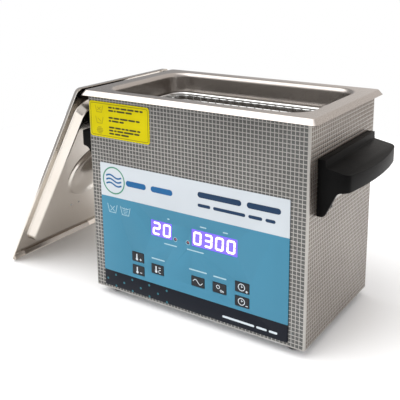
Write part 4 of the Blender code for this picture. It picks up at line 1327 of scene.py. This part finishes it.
def rating_plate():
    """The data plate on the back, its wording stood for by plain bars."""
    obj = mesh_object("rating_plate", lambda work: bar(work, "rear", RATING_X, RATING_Z, (-0.1, 0.4), 2.5))
    dress(smooth(obj, 30), "rating_silver", "cleaner")

    def ink(work):
        out = (0.3, 0.4 + INK)
        half = ((RATING_X[1] - RATING_X[0]) / 2 - 1.6, (RATING_Z[1] - RATING_Z[0]) / 2 - 1.6)
        border = rounded_outline(half, 1.6, 5, middle_of(RATING_X, RATING_Z))
        stroke(work, "rear", border, 0.4, out, closed=True)
        stroke(work, "rear", [(RATING_X[0] + 3.0, 134.4), (RATING_X[1] - 3.0, 134.4)], 0.4, out)
        for height, words in RATING_LINES:
            print_words(work, "rear", (RATING_X[0] + 5.0, height), 2.2, words, out)
        circle(work, "rear", (RATING_X[1] - 11.0, 147.0), 5.0, 0.7, out)

    dress(mesh_object("rating_print", ink), "label_ink", "cleaner")


def rear_fittings():
    rating_plate()

    def pins(work):
        for across, up in INLET_PINS:
            x, z = INLET[0] + across, INLET[1] + up
            block(work, (x - 1.1, x + 1.1), (REAR - 13.6, REAR - 3.6), (z - 2.1, z + 2.1))

    obj = mesh_object("inlet_pins", pins)
    smooth(rounding(obj, 0.35, 2, 60), 40)
    dress(obj, "pin_brass", "cleaner")
    pivot = Matrix.Translation((SWITCH[0], REAR - 2.0, SWITCH[1]))
    tilted = MACHINE @ pivot @ Matrix.Rotation(ROCKER_TILT, 4, "X") @ pivot.inverted()

    def marks(work):
        out = (2.6, 2.76)
        bar(work, "rear", (-SWITCH[0] - 0.5, -SWITCH[0] + 0.5), (SWITCH[1] + 2.4, SWITCH[1] + 6.2), out)
        circle(work, "rear", (-SWITCH[0], SWITCH[1] - 4.2), 1.9, 0.7, out)

    dress(mesh_object("rocker_marks", marks, tilted), "white_ink", "power_rocker")


# ---------------------------------------------------------------- carried-over CAD nodes

TRANSDUCERS = ("transducer_left_", "transducer_right_")
SCREWS = [f"{part}_screw_{number}" for part in ("foot", "handle") for number in range(1, 5)]
# The CAD nodes that stay in sight, by the finish that they get.
KEPT_NODES = {
    "housing_steel": ["housing_shell"],
    "zinc_steel": ["base_plate", *SCREWS],
    "gasket_silicone": ["rim_gasket", "heater_pad"],
    "circuit_board": ["control_board", "generator_board"],
    "aluminium": ["board_rail_upper", "board_rail_lower", "heat_sink"],
    "winding_copper": ["transformer"],
    "black_plastic": ["fan_frame", "fan_rotor", "power_inlet", "switch_housing", "power_rocker"],
    "wire_insulation": ["mains_wiring", "transducer_wiring"],
    "display_lens": list(DISPLAYS),
    "lamp_lens": list(LAMPS),
    "key_film": ["key_" + name for name in KEYS],
    "piezo_ceramic": [hand + "piezo_stack" for hand in TRANSDUCERS],
}
KEPT_NODES["black_plastic"] += ["fuse_holder", "thermal_cutout"]
KEPT_NODES["aluminium"] += [hand + "front_mass" for hand in TRANSDUCERS]
KEPT_NODES["zinc_steel"] += [hand + part for hand in TRANSDUCERS for part in ("back_mass", "clamp_bolt")]


def paint_cad():
    for paint, names in KEPT_NODES.items():
        for name in names:
            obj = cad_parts[name]
            obj.data.materials.clear()
            obj.data.materials.append(PAINTS[paint])
            smooth(obj, 30)


# ---------------------------------------------------------------- studio

CAMERA_PLACE = (384.8, -627.3, 383.4)
CAMERA_AZIMUTH = math.radians(34.14)
CAMERA_ELEVATION = math.radians(13.96)
CAMERA_ROLL = math.radians(-0.71)
CAMERA_LENS = 61.23
CAMERA_SHIFT = -0.18


def camera():
    flat = math.cos(CAMERA_ELEVATION)
    level = Vector((math.cos(CAMERA_AZIMUTH), math.sin(CAMERA_AZIMUTH), 0))
    back = Vector((level.y * flat, -level.x * flat, math.sin(CAMERA_ELEVATION)))
    upright = back.cross(level)
    right = level * math.cos(CAMERA_ROLL) + upright * math.sin(CAMERA_ROLL)
    up = upright * math.cos(CAMERA_ROLL) - level * math.sin(CAMERA_ROLL)
    data = bpy.data.cameras.new("camera")
    data.lens = CAMERA_LENS
    data.shift_y = CAMERA_SHIFT
    obj = placed("camera", data)
    turn = Matrix((right, up, back)).transposed().to_4x4()
    obj.matrix_world = Matrix.Translation(MACHINE @ Vector(CAMERA_PLACE)) @ turn
    bpy.context.scene.camera = obj


# The room's lights as (where, fully lit within, dark beyond, added light), with angles in degrees.
AMBIENT = (0.40, 0.40, 0.41)
LAMPS_AROUND = (
    ((-0.48, -0.55, 0.67), 20.0, 45.0, (1.7, 1.7, 1.7)),
    ((0.50, 0.80, 0.30), 48.0, 70.0, (0.50, 0.46, 0.42)),
    ((0.75, -0.60, 0.30), 20.0, 50.0, (0.30, 0.29, 0.28)),
)
WHITE = (1.0, 1.0, 1.0, 1.0)
OVERHEAD_AIM = (-0.25, -0.30, 1.0)
OVERHEAD_STRENGTH = 1.7
OVERHEAD_SPREAD = math.radians(75)
FLOOR_HALF = 800.0


def glow(tree, direction, aim, full, gone, light):
    """The light of one soft lamp, by the angle between where a ray goes and where the lamp is."""
    inputs = {0: direction, 1: Vector(aim).normalized()}
    facing = add_node(tree, "ShaderNodeVectorMath", inputs, operation="DOT_PRODUCT").outputs["Value"]
    limits = {"From Min": math.cos(math.radians(gone)), "From Max": math.cos(math.radians(full))}
    inputs = {"Value": facing, **limits}
    fade = add_node(tree, "ShaderNodeMapRange", inputs, interpolation_type="SMOOTHSTEP").outputs["Result"]
    inputs = {0: light, "Scale": fade}
    return add_node(tree, "ShaderNodeVectorMath", inputs, operation="SCALE").outputs["Vector"]


def surroundings():
    """A white room that lights the object with a few soft lamps."""
    world = bpy.data.worlds.new("studio")
    bpy.context.scene.world = world
    world.use_nodes = True
    tree = world.node_tree
    direction = add_node(tree, "ShaderNodeTexCoord").outputs["Generated"]
    total = AMBIENT
    for lamp in LAMPS_AROUND:
        inputs = {0: glow(tree, direction, *lamp), 1: total}
        total = add_node(tree, "ShaderNodeVectorMath", inputs, operation="ADD").outputs["Vector"]
    lit = tree.nodes["Background"]
    tree.links.new(total, lit.inputs["Color"])
    white = add_node(tree, "ShaderNodeBackground", {"Color": WHITE})
    seen = add_node(tree, "ShaderNodeLightPath").outputs["Is Camera Ray"]
    mix = add_node(tree, "ShaderNodeMixShader", {"Fac": seen, 1: lit.outputs[0], 2: white.outputs[0]})
    tree.links.new(mix.outputs[0], tree.nodes["World Output"].inputs["Surface"])


def overhead():
    """A broad soft light from above, slightly from the front left."""
    data = bpy.data.lights.new("overhead", "SUN")
    data.energy = OVERHEAD_STRENGTH
    data.angle = OVERHEAD_SPREAD
    obj = placed("overhead", data)
    obj.rotation_euler = Vector(OVERHEAD_AIM).to_track_quat("Z", "Y").to_euler()


def floor():
    obj = mesh_object(
        "floor",
        lambda work: bmesh.ops.create_grid(work, x_segments=2, y_segments=2, size=FLOOR_HALF * MM),
        Matrix.Identity(4),
    )
    made = Finish("floor_paper", 0.0, 0.9)
    made.mottled(300, (0.955, 0.955, 0.955), (0.975, 0.975, 0.975))
    obj.data.materials.append(made.made)


bpy.context.scene.view_settings.view_transform = "Standard"

embossing()
tank()
basket()
lid()
side_handle("handle_right", 1)
side_handle("handle_left", -1)
control_film()
film_prints()
key_symbols()
display_digits()
caution_label()
feet()
rear_fittings()
paint_cad()
camera()
surroundings()
floor()
overhead()
